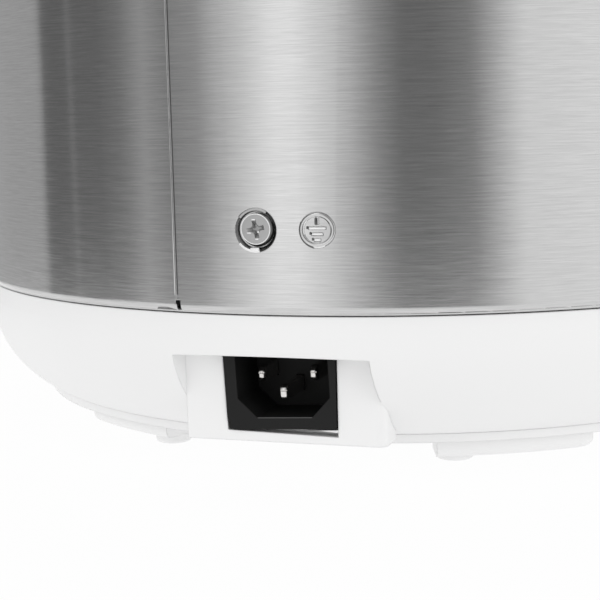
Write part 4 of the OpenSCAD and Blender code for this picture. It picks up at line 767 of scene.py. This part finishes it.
# %% [markdown]
# ## The front: display
# The display shows a time in seven-bar figures, in a raised frame. Printing could be painted into the
# material, but small raised shapes stay sharp in any view. They are drawn flat and then stood up to face
# the front.

# %% Display
FACING_FRONT = (90, 0, 0)
FIGURE_BARS = {0: "abcdef", 1: "bc", 3: "abgcd"}
FIGURE_W, FIGURE_H, BAR_W, BAR_T, BAR_ROUND = 6.4, 13.0, 1.4, 0.2, 0.09
SHOWN_TIME = ((0, -19), (1, -8), (3, 8), (0, 19))
COLON_R, COLON_Y, COLON_ROUND = 0.9, 3, 0.05
FIGURES_AT, FRAME_AT = (0, -155.05, 141), (0, -155, 141)
FRAME_BAR, FRAME_Y = (64.4, 1.2, 0.8), 14.4
FRAME_POST, FRAME_X = (1.16, 29.9, 0.84), 31.6
FRAME_ROUND = 0.3
GLOW_DIM, GLOW_BRIGHT, GLOW_CLOUD = (0.55, 0.80, 0.86), (0.68, 0.90, 0.94), 900.0


def figure(value, x):
    across = FIGURE_W - BAR_W
    half = FIGURE_H / 2
    places = {"a": (0, half), "g": (0, 0), "d": (0, -half), "b": (1, half / 2), "c": (1, -half / 2),
              "e": (-1, -half / 2), "f": (-1, half / 2)}
    bars = []
    for key in FIGURE_BARS[value]:
        side, y = places[key]
        size = (BAR_W, half - BAR_W, BAR_T) if side else (across, BAR_W, BAR_T)
        bars.append(block(size, (x + side * FIGURE_W / 2, y, 0), BAR_ROUND, 2))
    return bars


def display_glow():
    lit = Finish("display_glow")
    tone = lit.shade(lit.noise(GLOW_CLOUD), GLOW_DIM, GLOW_BRIGHT)
    return lit.set(Base_Color=tone, Roughness=0.4, Emission_Color=tone, Emission_Strength=0.5)


finishes["display_glow"] = display_glow()
shown = [bar for value, x in SHOWN_TIME for bar in figure(value, x)]
shown += [disc(COLON_R, BAR_T, (0, y, 0), COLON_ROUND, sides=24) for y in (-COLON_Y, COLON_Y)]
shown = settle(joined(shown), FACING_FRONT, FIGURES_AT)
keep(shown, "display_figures", "cooker_body", "window_plastic", "display_glow")
edging = [block(FRAME_BAR, (0, y, 0), FRAME_ROUND) for y in (-FRAME_Y, FRAME_Y)]
edging += [block(FRAME_POST, (x, 0, 0), FRAME_ROUND) for x in (-FRAME_X, FRAME_X)]
edging = settle(joined(edging), FACING_FRONT, FRAME_AT)
keep(edging, "display_rim", "cooker_body", "button_plastic")

# %% [markdown]
# ## The front: keys
# Each key has a plain mark made of dashes, arrows and rings. A mark rides on its own key, so that it goes
# in with it.

# %% Marks on the keys
MARK_T, MARK_ROUND, MARK_Y, LOOP_W = 0.3, 0.1, -156.5, 0.7


def dash(w, h, x=0, y=0, turn=0):
    return settle(block((w, h, MARK_T), edge=MARK_ROUND, steps=2), (0, 0, turn), (x, y, 0))


def arrow(r, turn, y=0):
    return settle(disc(r, MARK_T, edge=MARK_ROUND, sides=3, steps=2), (0, 0, turn), (0, y, 0))


def loop(r):
    return bead_ring(r, LOOP_W, MARK_T / 2)


marks = {
    "menu_key": ((-27, 116), [dash(7, 0.9, y=y) for y in (-2.2, 0, 2.2)]),
    "time_key": ((0, 116), [loop(3.2), dash(0.7, 2.2, 0, 0.9), dash(1.7, 0.7, 0.7, 0)]),
    "delay_key": ((27, 116), [arrow(2.3, 180, 1.7), arrow(2.3, 0, -1.7)]),
    "minus_key": ((-27, 101), [dash(6, 1.0)]),
    "set_key": ((0, 101), [loop(2.8), disc(1.0, MARK_T, edge=MARK_ROUND, sides=32)]),
    "plus_key": ((27, 101), [dash(6, 1.0), dash(1.0, 6)]),
    "cancel_key": ((-22, 83), [dash(7.6, 1.1, turn=45), dash(7.6, 1.1, turn=-45)]),
    "start_key": ((22, 83), [arrow(3.8, -90)]),
}
for body, ((x, z), shapes) in marks.items():
    stood = settle(joined(shapes), FACING_FRONT, (x, MARK_Y, z))
    keep(stood, body.replace("key", "mark"), body, "panel_plastic")

# %% [markdown]
# ## Levels in the pot
# The pot has printed lines with a figure beside each. A figure starts as a text object, which is made a
# mesh before it is placed, and each line is a thin bar. They lie on the inner wall and turn with the pot.

# %% Pot levels
POT_IN_R = 112.3
LEVELS = {1: 88, 2: 108, 3: 128, 4: 148}
LETTER_H, LETTER_T, LETTER_X, LETTER_IN, LETTER_STEPS = 8, 0.15, 9, 0.3, 4
LINE_SIZE, LINE_ROUND = (9, 0.3, 0.9), 0.1


def level_figure(value):
    bpy.ops.object.select_all(action="DESELECT")
    bpy.ops.object.text_add()
    letter = bpy.context.object
    letter.data.body = str(value)
    letter.data.size = LETTER_H * MM
    letter.data.extrude = LETTER_T * MM
    letter.data.align_x = "CENTER"
    letter.data.align_y = "CENTER"
    letter.data.resolution_u = LETTER_STEPS
    bpy.ops.object.convert(target="MESH")
    return added()


for name, facing in (("rear", 0), ("front", 180)):
    levels = []
    for value, z in LEVELS.items():
        levels.append(settle(level_figure(value), (90, 0, 0), (LETTER_X, POT_IN_R - LETTER_IN, z)))
        levels.append(block(LINE_SIZE, (0, POT_IN_R, z), LINE_ROUND, 2))
    keep(settle(joined(levels), (0, 0, facing)), "pot_levels_" + name, "pot", "button_plastic")

# %% [markdown]
# ## The light tent
# A shiny band shows what stands round it, so its stripes are made as a photographer makes them: a ring of
# pale and dark cards just outside the picture. The ring is a wall that glows in steps round its circle,
# each an angle and a glow. It is hidden from the camera and lights nothing; only shiny surfaces see it.

# %% Cards round the object
CARDS = (
    (-180, 0.90), (-150, 0.60), (-125, 0.25), (-100, 0.35), (-80, 0.90), (-50, 1.00), (-36, 0.92),
    (-31, 0.55), (-27, 0.27), (-20, 0.18), (-14, 0.18), (-10, 0.32), (-6.5, 0.53), (-3, 0.78), (1, 0.94),
    (5, 1.12), (9, 1.14), (15, 0.83), (20, 0.60), (24, 0.37), (29, 0.30), (33, 0.25), (38, 0.41),
    (43, 0.25), (48, 0.17), (66.8, 0.15), (67.8, 0.44), (98, 0.45), (125, 0.25), (150, 0.60), (180, 0.90))
CARD_R, CARD_H, CARD_SIDES = 0.31, 0.6, 96
CARD_POWER = 2.0


def aside(card):
    """Lets only shiny surfaces see a card."""
    card.visible_camera = False
    card.visible_diffuse = False
    card.visible_shadow = False
    card.visible_transmission = False


def card_finish():
    card = Finish("card_glow")
    turn = card.x.calc("ARCTAN2", card.y) / math.tau + 0.5
    glow = card.add("ShaderNodeValToRGB", sockets={0: turn})
    stops = glow.out.node.color_ramp.elements
    places = [(angle + 180) / 360 for angle, _ in CARDS]
    for place in places[1:-1]:
        stops.new(place)
    for stop, place, (_, shade) in zip(stops, places, CARDS):
        stop.position = place
        stop.color = (*grey(shade / CARD_POWER), 1)
    return card.surface(card.add("ShaderNodeEmission", sockets={"Color": glow, "Strength": CARD_POWER}))


bpy.ops.mesh.primitive_cylinder_add(vertices=CARD_SIDES, radius=CARD_R, depth=CARD_H,
                                    end_fill_type="NOTHING", location=(0, 0, CARD_H / 2))
cards = added()
cards.name = "light_cards"
cards.data.materials.append(card_finish())
aside(cards)
print("cards:", len(CARDS))

# %% [markdown]
# ## One thin line
# The band also shows one thin pale line. Steps in the ring are too wide for it, so a narrow card stands
# by itself just inside the ring.

# %% A narrow card that draws one thin line
STRIP_A, STRIP_R, STRIP_SIZE, STRIP_Z, STRIP_GLOW = 56.8, 308.0, (5.4, 1, 590), 300, 0.27


def strip_finish():
    thin = Finish("strip_glow")
    return thin.surface(thin.add("ShaderNodeEmission", sockets={"Strength": STRIP_GLOW}))


strip_turn = math.radians(STRIP_A)
strip_at = (STRIP_R * math.sin(strip_turn), STRIP_R * math.cos(strip_turn), STRIP_Z)
strip = settle(block(STRIP_SIZE), (0, 0, -STRIP_A), strip_at)
strip.name = "light_strip"
strip.data.materials.append(strip_finish())
aside(strip)
print("strip at", STRIP_A, "degrees")

# %% [markdown]
# ## Floor
# The photograph has no horizon: the floor runs out into white. The floor is a pale plate that also glows
# a little for the camera, so it stays near white and still takes a soft shadow.

# %% Floor
FLOOR_R, FLOOR_Z, FLOOR_SIDES = 6, -0.0003, 64
FLOOR_GLOW, FLOOR_SEEN = 0.9, 0.06


def floor_finish():
    ground = Finish("floor_white")
    ground.set(Base_Color=ground.shade(ground.noise(3.0), grey(0.80), grey(0.82)), Roughness=0.9)
    ray = ground.add("ShaderNodeLightPath", out="Is Camera Ray")
    glow = ground.add("ShaderNodeEmission", sockets={"Strength": 1.0})
    lit = Sock(ground.shader.outputs[0])
    share = FLOOR_GLOW + ray * FLOOR_SEEN
    return ground.surface(ground.add("ShaderNodeMixShader", sockets={0: share, 1: lit, 2: glow}))


bpy.ops.mesh.primitive_circle_add(vertices=FLOOR_SIDES, radius=FLOOR_R, fill_type="NGON",
                                  location=(0, 0, FLOOR_Z))
floor = added()
floor.name = "floor"
floor.data.materials.append(floor_finish())
print("floor radius:", FLOOR_R, "m")

# %% [markdown]
# ## White surround and lamps
# Four wide lamps and an even sky give the plain, nearly shadowless light of a light tent. The sky is full
# white where it is seen or mirrored, and weaker where it only lights.

# %% White surround
SKY_LIGHT = 0.66
PLAIN_RAYS = ("Is Camera Ray", "Is Glossy Ray", "Is Transmission Ray")

world = bpy.data.worlds.new("light_tent")
world.use_nodes = True
bpy.context.scene.world = world
sky = Nodes(world.node_tree)
rays = sky.add("ShaderNodeLightPath").out.node.outputs
seen, mirrored, through = (Sock(rays[kind]) for kind in PLAIN_RAYS)
plain = seen.calc("MAXIMUM", mirrored.calc("MAXIMUM", through))
backdrop = world.node_tree.nodes["Background"]
backdrop.inputs["Color"].default_value = (1, 1, 1, 1)
sky.join(backdrop.inputs["Strength"], SKY_LIGHT + plain * (1 - SKY_LIGHT))
print("sky light:", SKY_LIGHT)

# %% Lamps
LAMP_AIM = Vector((0, 0, 0.1))
LAMPS = (
    ("lamp_top", (0.0, 0.2, 1.7), 1.6, 6.4),
    ("lamp_left", (1.5, 1.2, 0.9), 1.2, 8.2),
    ("lamp_right", (-1.6, 0.9, 0.8), 1.2, 8.2),
    ("lamp_front", (0.2, -1.8, 1.0), 1.2, 8.2),
)
for name, place, side, power in LAMPS:
    lamp_data = bpy.data.lights.new(name, "AREA")
    lamp_data.size = side
    lamp_data.energy = power
    lamp = bpy.data.objects.new(name, lamp_data)
    lamp.location = place
    lamp.rotation_euler = (LAMP_AIM - Vector(place)).to_track_quat("-Z", "Y").to_euler()
    lamp.visible_glossy = False
    bpy.context.scene.collection.objects.link(lamp)
print("lamps:", len(LAMPS))
